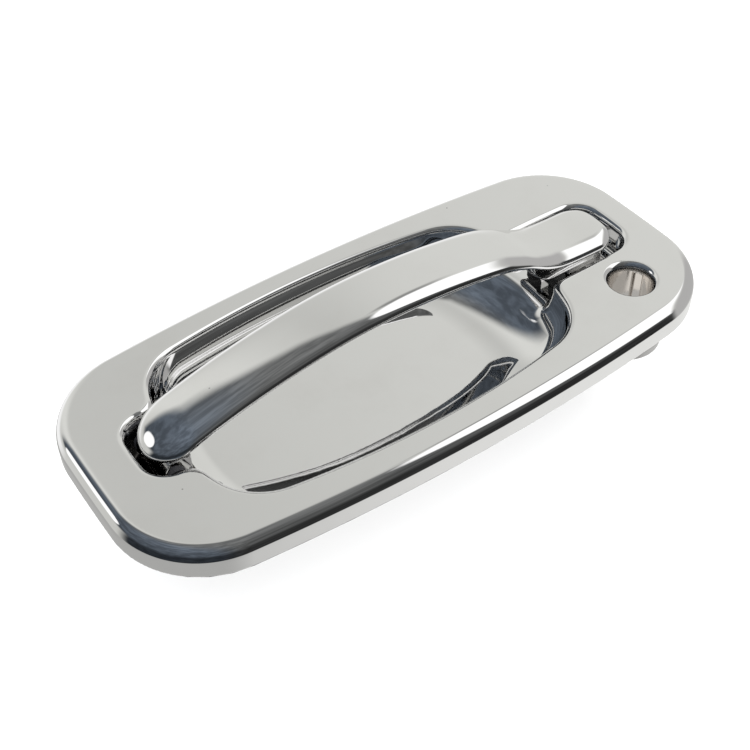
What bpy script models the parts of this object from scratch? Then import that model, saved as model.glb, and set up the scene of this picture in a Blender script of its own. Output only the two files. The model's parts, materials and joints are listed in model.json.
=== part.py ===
"""Chrome pull handle for a car door, built as its separate pieces.

A die-cast bezel with a finger cup covers the hole in the door skin. A two-piece strap bridges the cup. It
hinges on a cross pin under its front end, and its rear end pulls out of the door. A steel leg under the
rear end lifts a sprung bell crank, which pulls the latch rod.

Lengths in this file are millimetres; the meshes are written in metres. +Z points out of the door, +X points
to the rear of the door (the keyhole end), and z = 0 is the door skin under the bezel's rim.
"""
import math

import bmesh
import bpy
from mathutils import Vector

MM = 0.001
GAP = 0.3                  # running gap between neighbouring pieces
PAST = 1.0                 # how far a cut runs on past the surface it opens

# Bezel outline and rim
BEZEL_HALF_LENGTH = 119.0
BEZEL_HALF_WIDTH = 54.5
BEZEL_SIDE_RADIUS = 860.0
BEZEL_END_RADIUS = 900.0
BEZEL_CORNER_RADIUS = 35.0
FACE_Z = 11.2              # height of the flat face above the door skin
RIM_ROUND = 5.2
RIM_WALL = 3.0
FACE_THICKNESS = 2.8
SHELL_WALL = 2.5           # wall of the cup and of the pockets
LIP_ROUND = 2.5            # rounded lip around every opening in the face
LIP_BREAK = 0.03           # the lip meets the face at a slight angle
INTO_FACE = 1.4            # how far the pieces under the face reach into its plate
RIB_THICKNESS = 2.0
RIB_BOTTOM = 3.2
RIB_INTO_FACE = 0.56
RIB_XS = (-55.0, -20.0, 15.0, 48.0)
RIB_YS = (-8.0, 13.0)

# Finger cup
CUP_LEFT = -89.0
CUP_RIGHT = 66.0
CUP_CENTRE_Y = 0.9
CUP_HALF_WIDTH = 44.4
CUP_SIDE_RADIUS = 350.0
CUP_END_RADIUS = 75.0
CUP_CORNER_RADIUS = 24.0
CUP_LEFT_RUN = 13.0        # how far the wall runs in from lip to floor, at each side
CUP_RIGHT_RUN = 28.0
CUP_SIDE_RUN = 13.0
CUP_CORNER_LOSS = 12.0
CUP_FLOOR_Z = -11.8        # floor height at x = 0, falling towards the rear
CUP_FLOOR_SLOPE = -0.040

# Pockets that the two ends of the strap sit in
FRONT_POCKET = (-102.5, -76.0, -14.0, 19.5)      # left, right, near and far edge at the face
FRONT_POCKET_FLOOR = -6.0
REAR_POCKET = (50.0, 106.7, -14.3, 21.3)
REAR_POCKET_FLOOR = -1.0
POCKET_SIDE_RADIUS = 400.0
POCKET_END_RADIUS = 120.0
POCKET_CORNER_RADIUS = 11.5
POCKET_FILLET = 2.5

# Keyhole and the lock housing behind it
LOCK_X, LOCK_Y = 88.0, -27.5
LOCK_BORE_RADIUS = 8.2
LOCK_LIP_RADIUS = 10.5
LOCK_LIP_DEPTH = 3.3
LOCK_HOUSING_RADIUS = 14.5
LOCK_HOUSING_END = -17.0
LOCK_SLOT_WIDTH = 3.6
LOCK_SLOT_ANGLE = math.radians(25.0)
LOCK_SLOT_REACH = (-3.0, 1.6)   # from inside the bore to the slot's end, about the bore's wall
LOCK_SLOT_BELOW_LIP = 0.8

# Strap
STRAP_CENTRE_Y = 2.5
STRAP_HALF_WIDTH = 12.5
STRAP_FRONT = -97.5
STRAP_REAR = 98.6
STRAP_NOSE_RUN = 13.5
STRAP_REAR_CORNER = 10.0
STRAP_SHELL_WALL = 2.2
STRAP_NOSE_POWER = 2.3     # of the curve that closes the nose, in plan and in height
STRAP_REAR_RUN = 4.0       # length over which the top closes at the rear
STRAP_CROWN_FRONT, STRAP_CROWN_REAR = 5.0, 4.2
STRAP_ROUNDNESS_FRONT, STRAP_ROUNDNESS_REAR = 2.3, 3.6
STRAP_BLEND = (-40.0, 40.0)      # where the round front half turns into the flat-topped rear half
STRAP_LEAST_HALF, STRAP_LEAST_CROWN = 0.6, 0.4
# Lower edge of the strap's shell above the face: (x, height), the arch, the neck and the flat pad
STRAP_EDGE = ((-97.5, -1.0), (-90.0, 1.6), (-81.5, 4.8), (-64.0, 10.0), (-46.0, 14.0), (-28.0, 16.8),
              (-9.0, 17.9), (12.0, 17.2), (30.0, 15.3), (45.0, 12.7), (54.0, 9.4), (62.0, 5.3),
              (70.0, 2.4), (80.0, 1.3), (98.6, 0.9))
SHELL_EDGE = (0.25, 0.5)   # the shell's bottom edge turns in and down by this much
SHELL_OPEN_DROP = 3.0
BACKING_DROP = 3.4         # how far the backing shows below the shell
BACKING_LEAN = 1.6         # how much narrower the backing is at its bottom
BACKING_LEAST_HALF = 0.4
PAD_BLEND = (54.0, 70.0)   # where the underside levels out
PAD_UNDERSIDE_Z = 5.0

# Hinge under the front end of the strap
HINGE_X, HINGE_Z = -91.0, 1.0
PIN_RADIUS = 2.0
KNUCKLE_RADIUS = 4.6
KNUCKLE_Y = (-7.4, 12.4)
# Outline of the knuckle above the pin: (x from the pin, z)
KNUCKLE_NECK = ((4.6, 1.0), (7.6, 10.4), (-1.0, 10.4), (-3.1, 7.5), (-4.6, 4.5))
HINGE_BORE_REACH = 6.0     # beyond the pocket's edges
BUSHING_OUTER = 3.2
BUSHING_FLANGE_RADIUS = 4.4
BUSHING_FLANGE = 2.5
BUSHING_LENGTH = 6.0
CLIP_THICKNESS = 0.8
CLIP_RADIUS = 4.0
CLIP_HALF_OPENING = math.radians(28.0)
GROOVE_DEPTH = 0.5
HEAD_THICKNESS = 1.5
HEAD_RADIUS = 3.4
HEAD_CHAMFER = 0.4
PIN_TIP = (0.5, 1.5)       # taper and length of the pin's tip

# Leg under the rear end of the strap
LEG_X = (92.0, 95.0)
LEG_Y = (-4.5, 9.5)
LEG_FLANGE_FRONT = 79.0
LEG_SCREW_X = 84.0
LEG_SCREW_DEPTH = 5.5
LEG_SCREW_HEAD = (0.7, 1.2)      # straight part and full thickness
LEG_HEEL_CHAMFER = 1.5
LEG_PLATE = 3.0
LEG_FOOT_Z = -35.2
LEG_TOE_FRONT = 84.5
LEG_SLOT = (90.0, 98.5, -6.2, 11.2)

# Bell crank
CRANK_X, CRANK_Z = 62.0, -18.0
CRANK_ARM = 26.0
CRANK_ARM_ANGLE = math.radians(-25.0)
CRANK_NOSE_RADIUS = 2.5
CRANK_ARM_ROOT = 5.7
CRANK_OUTPUT_ARM = 19.0
CRANK_OUTPUT_ANGLE = math.radians(-125.0)
CRANK_OUTPUT_ROOT = 5.5
CRANK_OUTPUT_INSET = 0.6   # the output arm is this much thinner, on each side
CRANK_ARM_Y = (-1.0, 4.0)
CRANK_HUB_Y = (-4.1, 11.8)
CRANK_HUB_RADIUS = 4.5
CRANK_BUSHING_OUTER = 3.1
LUG_Y = ((-7.6, -4.6), (12.3, 15.3))
LUG_RADIUS = 7.0
LUG_TOP = 2.0
ROD_HOLE_RADIUS = 2.5
ROD_EYE_RADIUS = 4.9

# Rod clip
ROD_CLIP_RADIUS = 4.4
ROD_CLIP_HEAD = 5.0
ROD_CLIP_CHAMFER = (0.4, 0.6)
ROD_CLIP_BARB = 0.9
ROD_CLIP_TIP = 2.2
ROD_TAIL = (-9.0, -1.5)    # from the stem to the rod's hole
ROD_TAIL_RADII = (3.4, 2.6)
ROD_TAIL_DEPTHS = (4.4, 1.2)
ROD_WAY_RADIUS = 1.4

# Fasteners
STUD_PLACES = (("front", -93.0, 34.0), ("rear", 84.0, 36.0))
STUD_RADIUS = 3.0
STUD_Z = (-24.0, 6.4)
STUD_TIP = (0.8, 1.2)      # taper and length of the stud's tip
STUD_BOSS_RADIUS = 6.2
STUD_BOSS_Z = -1.0
NUT_FLATS = 10.0
NUT_HEIGHT = 5.0
NUT_CHAMFER = 0.9
NUT_CHAMFER_BREAK = 0.1
WASHER_THICKNESS = 1.2
WASHER_RADIUS = 6.0
WASHER_TOP = -4.5
PEG_X, PEG_Y = -93.0, -33.0
PEG_RADIUS = 3.4
PEG_END = -5.0
PEG_TIP = (1.2, 2.0)
SCREW_PLACES = (("front", -66.0), ("rear", 40.0))
SCREW_RADIUS = 1.3
SCREW_HEAD_RADIUS = 2.8
SCREW_HEAD_THICKNESS = 1.4
SCREW_HEAD_RIM = 0.6
SCREW_HEAD_CHAMFER = 0.5
SCREW_BOSS_RADIUS = 3.0
SCREW_BOSS_TOP = 1.0       # below the shell's crown
SCREW_HOLE_TOP = 1.6
SCREW_BOSS_DROP = 0.6      # below the shell's edge
SCREW_HOLE_DROP = 2.0
BOSS_WELL_DROP = 0.9
BOSS_WELL_HEIGHT = 8.0
SCREW_RECESS = 1.3
BUMPER_X = 74.0
BUMPER_YS = (("near", -3.6), ("far", 8.6))
BUMPER_RADIUS = 3.0
BUMPER_SHOULDER_Z = 3.2
BUMPER_TAPER = 0.9

# Gasket between the rim and the door skin
GASKET_INSET = (1.3, 5.2)
GASKET_Z = (-1.6, -GAP)

# Return spring on the crank's hub
SPRING_MEAN_RADIUS = 6.0
SPRING_WIRE = 0.6
SPRING_TURNS = 3.5
SPRING_START = math.radians(200.0)
SPRING_Y = (5.2, 10.6)

CIRCLE_STEPS = 20
FINE_CIRCLE_STEPS = 32
SMALL_CIRCLE_STEPS = 12
HEAD_CIRCLE_STEPS = 16
SPRING_STEPS_PER_TURN = 12
QUARTER_TURN = math.pi / 2

COLOURS = {
    "chrome": ((0.80, 0.80, 0.79), 0.05, 1.0),
    "nickel": ((0.62, 0.58, 0.51), 0.22, 1.0),
    "zinc": ((0.66, 0.66, 0.64), 0.32, 1.0),
    "spring_steel": ((0.30, 0.30, 0.31), 0.35, 1.0),
    "rubber": ((0.02, 0.02, 0.02), 0.75, 0.0),
    "foam": ((0.035, 0.035, 0.04), 0.9, 0.0),
    "black_plastic": ((0.025, 0.025, 0.028), 0.45, 0.0),
    "white_plastic": ((0.78, 0.76, 0.70), 0.45, 0.0),
}


def material(name):
    """One Principled material per finish, shared by the pieces that have it."""
    found = bpy.data.materials.get(name)
    if found:
        return found
    colour, roughness, metallic = COLOURS[name]
    made = bpy.data.materials.new(name)
    made.use_nodes = True
    shader = made.node_tree.nodes["Principled BSDF"]
    shader.inputs["Base Color"].default_value = (*colour, 1.0)
    shader.inputs["Roughness"].default_value = roughness
    shader.inputs["Metallic"].default_value = metallic
    return made


def mesh_object(name, points, faces):
    """Make an object from points in millimetres."""
    mesh = bpy.data.meshes.new(name)
    mesh.from_pydata([Vector(p) * MM for p in points], [], faces)
    mesh.update()
    made = bpy.data.objects.new(name, mesh)
    bpy.context.scene.collection.objects.link(made)
    return made


def loft(name, loops, closed=False):
    """Skin a stack of equal loops. An open stack gets flat ends; a closed one joins up as a ring."""
    count = len(loops[0])
    points = [p for loop in loops for p in loop]
    faces = []
    for level in range(len(loops) if closed else len(loops) - 1):
        low = level * count
        high = (level + 1) % len(loops) * count
        for i in range(count):
            j = (i + 1) % count
            faces.append((low + i, low + j, high + j, high + i))
    if not closed:
        faces.append(tuple(reversed(range(count))))
        faces.append(tuple(range(len(points) - count, len(points))))
    made = mesh_object(name, points, faces)
    face_outwards(made)
    return made


def face_outwards(item):
    """Turn every face so that the closed mesh's normals point out."""
    work = bmesh.new()
    work.from_mesh(item.data)
    bmesh.ops.recalc_face_normals(work, faces=work.faces)
    if work.calc_volume(signed=True) < 0:
        bmesh.ops.reverse_faces(work, faces=work.faces)
    work.to_mesh(item.data)
    work.free()


def combine(target, operation, *others):
    """Cut others from target, or join them to it, and drop them."""
    for other in others:
        step = target.modifiers.new(operation, "BOOLEAN")
        step.operation = operation
        step.object = other
        evaluated = target.evaluated_get(bpy.context.evaluated_depsgraph_get())
        result = bpy.data.meshes.new_from_object(evaluated)
        target.modifiers.clear()
        target.data = result
        bpy.data.objects.remove(other)
    return target


def finish(item, finish_name, pivot=(0.0, 0.0, 0.0), smooth_angle=32.0):
    """Weld, give the finish and smooth shading, and put the object's origin on its pivot (millimetres)."""
    work = bmesh.new()
    work.from_mesh(item.data)
    bmesh.ops.remove_doubles(work, verts=work.verts, dist=0.00001)
    bmesh.ops.dissolve_degenerate(work, dist=0.00001, edges=work.edges)
    shift = -Vector(pivot) * MM
    bmesh.ops.translate(work, verts=work.verts, vec=shift)
    work.to_mesh(item.data)
    work.free()
    item.location = -shift
    item.data.materials.clear()
    item.data.materials.append(material(finish_name))
    item.data.shade_smooth()
    item.data.set_sharp_from_angle(angle=math.radians(smooth_angle))
    return item


def arc(centre, radius, start, end, steps):
    """Points on an arc, without its last point."""
    points = []
    for i in range(steps):
        angle = start + (end - start) * i / steps
        points.append((centre[0] + radius * math.cos(angle), centre[1] + radius * math.sin(angle)))
    return points


def arc_rectangle(half_length, half_width, side_radius, end_radius, corner_radius,
                  inset=0.0, centre=(0.0, 0.0), steps=(2, 7, 5)):
    """A rectangle with bowed sides and round corners: tangent arcs, inset evenly."""
    side_centre = (0.0, half_width - side_radius)
    end_centre = (half_length - end_radius, 0.0)
    to_side = side_radius - corner_radius
    to_end = end_radius - corner_radius
    span = math.dist(side_centre, end_centre)
    along = (to_side ** 2 - to_end ** 2 + span ** 2) / (2 * span)
    across = math.sqrt(to_side ** 2 - along ** 2)
    unit = ((end_centre[0] - side_centre[0]) / span, (end_centre[1] - side_centre[1]) / span)
    corner = (side_centre[0] + unit[0] * along + unit[1] * across,
              side_centre[1] + unit[1] * along - unit[0] * across)
    end_angle = math.atan2(corner[1] - end_centre[1], corner[0] - end_centre[0])
    side_angle = math.atan2(corner[1] - side_centre[1], corner[0] - side_centre[0])
    quarter = arc(end_centre, end_radius - inset, 0.0, end_angle, steps[0])
    quarter += arc(corner, corner_radius - inset, end_angle, side_angle, steps[1])
    quarter += arc(side_centre, side_radius - inset, side_angle, QUARTER_TURN, steps[2])
    quarter.append((0.0, half_width - inset))
    left = [(-x, y) for x, y in reversed(quarter[1:-1])]
    upper = quarter + left
    lower = [(x, -y) for x, y in reversed(upper[1:])]
    upper.append((-half_length + inset, 0.0))
    return [(x + centre[0], y + centre[1]) for x, y in upper + lower]


def lift(loop, z):
    """Put a flat outline at height z."""
    return [(x, y, z) for x, y in loop]


def circle(radius, steps=CIRCLE_STEPS, centre=(0.0, 0.0)):
    return arc(centre, radius, 0.0, 2 * math.pi, steps)


def turned_z(name, profile, x, y, steps=CIRCLE_STEPS):
    """A round piece along Z from its (radius, z) profile, bottom to top."""
    return loft(name, [lift(circle(radius, steps, (x, y)), z) for radius, z in profile])


def turned_y(name, profile, x, z, steps=CIRCLE_STEPS):
    """A round piece along Y from its (radius, y) profile."""
    loops = []
    for radius, y in profile:
        loops.append([(px, y, pz) for px, pz in circle(radius, steps, (x, z))])
    return loft(name, loops)


def box(name, x, y, z):
    """A block between pairs of limits."""
    outline = [(x[0], y[0]), (x[1], y[0]), (x[1], y[1]), (x[0], y[1])]
    return loft(name, [lift(outline, z[0]), lift(outline, z[1])])


def plate_xz(name, outline, y):
    """A plate of constant thickness from an outline in the XZ plane."""
    return loft(name, [[(px, y[0], pz) for px, pz in outline], [(px, y[1], pz) for px, pz in outline]])


def capsule(start, end, start_radius, end_radius, steps=8):
    """Outline around two circles in one plane, round at both ends."""
    heading = math.atan2(end[1] - start[1], end[0] - start[0])
    lean = math.asin((start_radius - end_radius) / math.dist(start, end))
    first = heading + QUARTER_TURN - lean
    last = heading - QUARTER_TURN + lean
    points = arc(start, start_radius, first, last + 2 * math.pi, steps)
    points += arc(start, start_radius, last + 2 * math.pi, last + 2 * math.pi + 0.01, 1)
    points += arc(end, end_radius, last, first, steps)
    points += arc(end, end_radius, first, first + 0.01, 1)
    return points


# ---------------------------------------------------------------- bezel

def bezel_outline(inset):
    return arc_rectangle(BEZEL_HALF_LENGTH, BEZEL_HALF_WIDTH, BEZEL_SIDE_RADIUS, BEZEL_END_RADIUS,
                         BEZEL_CORNER_RADIUS, inset)


def rim_block():
    """The rim's outer form: an upright wall with a quarter-round up to the flat face."""
    loops = [lift(bezel_outline(0.0), 0.0)]
    round_steps = 4
    for i in range(round_steps + 1):
        angle = QUARTER_TURN * i / round_steps
        inset = RIM_ROUND * (1 - math.cos(angle))
        loops.append(lift(bezel_outline(inset), FACE_Z - RIM_ROUND + RIM_ROUND * math.sin(angle)))
    return loft("bezel", loops)


def rim_hollow():
    under_face = FACE_Z - FACE_THICKNESS
    return loft("hollow", [lift(bezel_outline(RIM_WALL), -PAST),
                           lift(bezel_outline(RIM_WALL), under_face - FACE_THICKNESS),
                           lift(bezel_outline(RIM_WALL + FACE_THICKNESS), under_face)])


def cup_floor(x):
    return CUP_FLOOR_Z + CUP_FLOOR_SLOPE * x


def cup_loop(run, grow, rise, top, drop=0.0):
    """One level of the cup. run is 1 at the floor and 0 at the wall's top; rise goes from 0 to 1."""
    left = CUP_LEFT + LIP_ROUND + run * CUP_LEFT_RUN - grow
    right = CUP_RIGHT - LIP_ROUND - run * CUP_RIGHT_RUN + grow
    half_width = CUP_HALF_WIDTH - LIP_ROUND - run * CUP_SIDE_RUN + grow
    corner = CUP_CORNER_RADIUS - LIP_ROUND - run * CUP_CORNER_LOSS + grow
    flat = arc_rectangle((right - left) / 2, half_width, CUP_SIDE_RADIUS, CUP_END_RADIUS, corner,
                         centre=((left + right) / 2, CUP_CENTRE_Y), steps=(3, 5, 4))
    loop = []
    for x, y in flat:
        low = cup_floor(x) - drop
        loop.append((x, y, low + (top - low) * rise))
    return loop


def cup_wall(grow, top, drop, steps=5):
    """The cup's wall: a quarter ellipse from the floor up to an upright top."""
    loops = []
    for i in range(steps + 1):
        angle = QUARTER_TURN * i / steps
        loops.append(cup_loop(1 - math.sin(angle), grow, 1 - math.cos(angle), top, drop))
    return loops


def lip_loops(outline_at, steps=3):
    """The rounded lip of an opening, carried up clear of the face."""
    loops = []
    for i in range(1, steps + 1):
        angle = QUARTER_TURN * i / steps
        grow = LIP_ROUND * (1 - math.cos(angle))
        loops.append(lift(outline_at(grow), FACE_Z - LIP_ROUND + (LIP_ROUND + LIP_BREAK) * math.sin(angle)))
    loops.append(lift(outline_at(LIP_ROUND), FACE_Z + PAST))
    return loops


def cup_cavity():
    def outline_at(grow):
        return [(x, y) for x, y, _ in cup_loop(0.0, grow, 1.0, FACE_Z)]
    return loft("cup_cavity", cup_wall(0.0, FACE_Z - LIP_ROUND, 0.0) + lip_loops(outline_at))


def cup_shell():
    return loft("cup_shell", cup_wall(SHELL_WALL, FACE_Z - INTO_FACE, SHELL_WALL, 4))


def pocket_outline(pocket, grow):
    left, right, near, far = pocket
    half_length = (right - left) / 2 - LIP_ROUND + grow
    half_width = (far - near) / 2 - LIP_ROUND + grow
    corner = POCKET_CORNER_RADIUS - LIP_ROUND + grow
    return arc_rectangle(half_length, half_width, POCKET_SIDE_RADIUS, POCKET_END_RADIUS, corner,
                         centre=((left + right) / 2, (near + far) / 2), steps=(2, 6, 3))


def pocket_cavity(pocket, floor):
    def outline_at(grow):
        return pocket_outline(pocket, grow)
    loops = [lift(outline_at(-POCKET_FILLET), floor)]
    for angle in (QUARTER_TURN / 2, QUARTER_TURN):
        run = POCKET_FILLET * (math.sin(angle) - 1)
        loops.append(lift(outline_at(run), floor + POCKET_FILLET * (1 - math.cos(angle))))
    loops.append(lift(outline_at(0.0), FACE_Z - LIP_ROUND))
    return loft("pocket_cavity", loops + lip_loops(outline_at))


def pocket_shell(pocket, floor):
    outline = pocket_outline(pocket, SHELL_WALL)
    return loft("pocket_shell", [lift(outline, floor - SHELL_WALL), lift(outline, FACE_Z - INTO_FACE)])


def keyhole():
    """The lock bore with its rolled lip, and the slot for the lock's tumbler."""
    profile = [(LOCK_BORE_RADIUS, LOCK_HOUSING_END - PAST)]
    steps = 4
    for i in range(steps + 1):
        angle = QUARTER_TURN * i / steps
        radius = LOCK_BORE_RADIUS + (LOCK_LIP_RADIUS - LOCK_BORE_RADIUS) * (1 - math.cos(angle))
        profile.append((radius, FACE_Z - LOCK_LIP_DEPTH + (LOCK_LIP_DEPTH + LIP_BREAK) * math.sin(angle)))
    profile.append((LOCK_LIP_RADIUS, FACE_Z + PAST))
    return turned_z("keyhole", profile, LOCK_X, LOCK_Y, FINE_CIRCLE_STEPS)


def lock_slot():
    half = LOCK_SLOT_WIDTH / 2
    start, end = (LOCK_BORE_RADIUS + reach for reach in LOCK_SLOT_REACH)
    corners = [(start, -half), (end, -half), (end, half), (start, half)]
    cos, sin = math.cos(LOCK_SLOT_ANGLE), math.sin(LOCK_SLOT_ANGLE)
    outline = [(LOCK_X + x * cos - y * sin, LOCK_Y + x * sin + y * cos) for x, y in corners]
    top = FACE_Z - LOCK_LIP_DEPTH - LOCK_SLOT_BELOW_LIP
    return loft("lock_slot", [lift(outline, LOCK_HOUSING_END - PAST), lift(outline, top)])


def crank_lug(y):
    """One of the two lugs that carry the bell crank's pin."""
    bottom = arc((CRANK_X, CRANK_Z), LUG_RADIUS, -math.pi, 0.0, 8)
    front, rear = CRANK_X - LUG_RADIUS, CRANK_X + LUG_RADIUS
    outline = bottom + [(rear, CRANK_Z), (rear, LUG_TOP), (front, LUG_TOP)]
    return plate_xz("crank_lug", outline, y)


def rim_ribs():
    """Short ribs that tie the cup and the pockets to the rim wall."""
    ribs = []
    half = RIB_THICKNESS / 2
    span = (RIB_BOTTOM, FACE_Z - FACE_THICKNESS + RIB_INTO_FACE)
    into_wall = RIM_WALL / 2
    for x in RIB_XS:
        wall = BEZEL_HALF_WIDTH - x ** 2 / (2 * BEZEL_SIDE_RADIUS) - into_wall
        cup = CUP_HALF_WIDTH - (x - (CUP_LEFT + CUP_RIGHT) / 2) ** 2 / (2 * CUP_SIDE_RADIUS)
        ribs.append(box("rib", (x - half, x + half), (-wall, CUP_CENTRE_Y - cup), span))
        ribs.append(box("rib", (x - half, x + half), (CUP_CENTRE_Y + cup, wall), span))
    wall = BEZEL_HALF_LENGTH - into_wall
    for y in RIB_YS:
        ribs.append(box("rib", (-wall, FRONT_POCKET[0]), (y - half, y + half), span))
        ribs.append(box("rib", (REAR_POCKET[1], wall), (y - half, y + half), span))
    return ribs


def make_bezel():
    bezel = combine(rim_block(), "DIFFERENCE", rim_hollow())
    top = FACE_Z - INTO_FACE
    bosses = [cup_shell(), pocket_shell(FRONT_POCKET, FRONT_POCKET_FLOOR),
              pocket_shell(REAR_POCKET, REAR_POCKET_FLOOR),
              turned_z("lock_housing", [(LOCK_HOUSING_RADIUS, LOCK_HOUSING_END), (LOCK_HOUSING_RADIUS, top)],
                       LOCK_X, LOCK_Y, FINE_CIRCLE_STEPS),
              turned_z("peg", [(PEG_RADIUS - PEG_TIP[0], PEG_END), (PEG_RADIUS, PEG_END + PEG_TIP[1]),
                               (PEG_RADIUS, top)], PEG_X, PEG_Y)]
    for _, x, y in STUD_PLACES:
        bosses.append(turned_z("stud_boss", [(STUD_BOSS_RADIUS, STUD_BOSS_Z), (STUD_BOSS_RADIUS, top)], x, y))
    bosses += [crank_lug(y) for y in LUG_Y]
    combine(bezel, "UNION", *bosses, *rim_ribs())
    cuts = [cup_cavity(), pocket_cavity(FRONT_POCKET, FRONT_POCKET_FLOOR),
            pocket_cavity(REAR_POCKET, REAR_POCKET_FLOOR), keyhole(), lock_slot(),
            box("leg_slot", LEG_SLOT[:2], LEG_SLOT[2:],
                (REAR_POCKET_FLOOR - SHELL_WALL - PAST, REAR_POCKET_FLOOR + PAST)),
            turned_y("hinge_bore", [(PIN_RADIUS + GAP, FRONT_POCKET[2] - HINGE_BORE_REACH),
                                    (PIN_RADIUS + GAP, FRONT_POCKET[3] + HINGE_BORE_REACH)], HINGE_X, HINGE_Z),
            turned_y("crank_bore", [(PIN_RADIUS + GAP, LUG_Y[0][0] - PAST),
                                    (PIN_RADIUS + GAP, LUG_Y[1][1] + PAST)], CRANK_X, CRANK_Z)]
    for _, x, y in STUD_PLACES:
        cuts.append(turned_z("stud_hole", [(STUD_RADIUS + GAP, STUD_BOSS_Z - PAST),
                                           (STUD_RADIUS + GAP, STUD_Z[1] + GAP)], x, y))
    combine(bezel, "DIFFERENCE", *cuts)
    return finish(bezel, "chrome")


def make_gasket():
    outer, inner = GASKET_INSET
    low, high = GASKET_Z
    loops = [lift(bezel_outline(outer), low), lift(bezel_outline(outer), high),
             lift(bezel_outline(inner), high), lift(bezel_outline(inner), low)]
    return finish(loft("door_gasket", loops, closed=True), "foam")


# ---------------------------------------------------------------- strap

def smooth_value(knots, x):
    """A smooth curve through knots (Catmull-Rom with uneven spacing)."""
    x = min(max(x, knots[0][0]), knots[-1][0])
    last = len(knots) - 1
    i = max(k for k in range(last) if knots[k][0] <= x)
    (x0, y0), (x1, y1) = knots[i], knots[i + 1]
    before = knots[max(i - 1, 0)]
    after = knots[min(i + 2, last)]
    slope0 = (y1 - before[1]) / (x1 - before[0])
    slope1 = (after[1] - y0) / (after[0] - x0)
    t = (x - x0) / (x1 - x0)
    width = x1 - x0
    return ((2 * t ** 3 - 3 * t ** 2 + 1) * y0 + (t ** 3 - 2 * t ** 2 + t) * width * slope0
            + (3 * t ** 2 - 2 * t ** 3) * y1 + (t ** 3 - t ** 2) * width * slope1)


def smooth_share(x, start, end):
    """0 before start, 1 after end, smooth between."""
    t = min(max((x - start) / (end - start), 0.0), 1.0)
    return t * t * (3 - 2 * t)


def strap_half_width(x):
    """Half width in plan: a round nose at the front, round corners at the rear."""
    nose_start = STRAP_FRONT + STRAP_NOSE_RUN
    corner_start = STRAP_REAR - STRAP_REAR_CORNER
    if x < nose_start:
        along = min((nose_start - x) / STRAP_NOSE_RUN, 1.0)
        return STRAP_HALF_WIDTH * math.sqrt(max(1 - along ** STRAP_NOSE_POWER, 0.0))
    if x > corner_start:
        along = min(x - corner_start, STRAP_REAR_CORNER)
        flat = STRAP_HALF_WIDTH - STRAP_REAR_CORNER
        return flat + math.sqrt(max(STRAP_REAR_CORNER ** 2 - along ** 2, 0.0))
    return STRAP_HALF_WIDTH


def strap_blend(x):
    """0 over the round front half, 1 over the flat-topped rear half."""
    return smooth_share(x, *STRAP_BLEND)


def strap_crown(x):
    crown = STRAP_CROWN_FRONT + (STRAP_CROWN_REAR - STRAP_CROWN_FRONT) * strap_blend(x)
    end = min((x - STRAP_FRONT) / STRAP_NOSE_RUN, (STRAP_REAR - x) / STRAP_REAR_RUN, 1.0)
    return crown * max(1 - (1 - end) ** STRAP_NOSE_POWER, 0.0) ** 0.5


def strap_edge(x):
    return FACE_Z + smooth_value(STRAP_EDGE, x)


def strap_stations(margin):
    """Places along the strap: even over the arch, closing up around its two round ends."""
    front, rear = STRAP_FRONT + margin, STRAP_REAR - margin
    nose_run, corner_run = STRAP_NOSE_RUN - margin, STRAP_REAR_CORNER - margin
    end_steps, arch_steps = 5, 14
    places = [front + nose_run * (1 - math.cos(QUARTER_TURN * i / end_steps)) for i in range(end_steps)]
    arch_start, arch_end = front + nose_run, rear - corner_run
    places += [arch_start + (arch_end - arch_start) * i / arch_steps for i in range(arch_steps)]
    places += [rear - corner_run * (1 - math.sin(QUARTER_TURN * i / end_steps)) for i in range(end_steps + 1)]
    return places


def strap_arch(x, inset, steps=10):
    """The crowned top of one cross-section, near edge to far edge."""
    half = max(strap_half_width(x) - inset, STRAP_LEAST_HALF)
    crown = max(strap_crown(x) - inset, STRAP_LEAST_CROWN)
    roundness = STRAP_ROUNDNESS_FRONT + (STRAP_ROUNDNESS_REAR - STRAP_ROUNDNESS_FRONT) * strap_blend(x)
    points = []
    for i in range(steps + 1):
        angle = math.pi - math.pi * i / steps
        cos, sin = math.cos(angle), math.sin(angle)
        across = math.copysign(abs(cos) ** (2 / roundness), cos)
        up = max(sin, 0.0) ** (2 / roundness)
        points.append((x, STRAP_CENTRE_Y + half * across, strap_edge(x) + crown * up))
    return points


def strap_solid(name, margin, inset, bottom_at, bottom_inset):
    """A bar under the crowned top, down to bottom_at(x)."""
    loops = []
    for x in strap_stations(margin):
        arch = strap_arch(x, inset)
        low = bottom_at(x)
        half = max(strap_half_width(x) - inset - bottom_inset, BACKING_LEAST_HALF)
        under = [(x, STRAP_CENTRE_Y + half, low), (x, STRAP_CENTRE_Y, low), (x, STRAP_CENTRE_Y - half, low)]
        loops.append(arch + under)
    return loft(name, loops)


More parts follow.
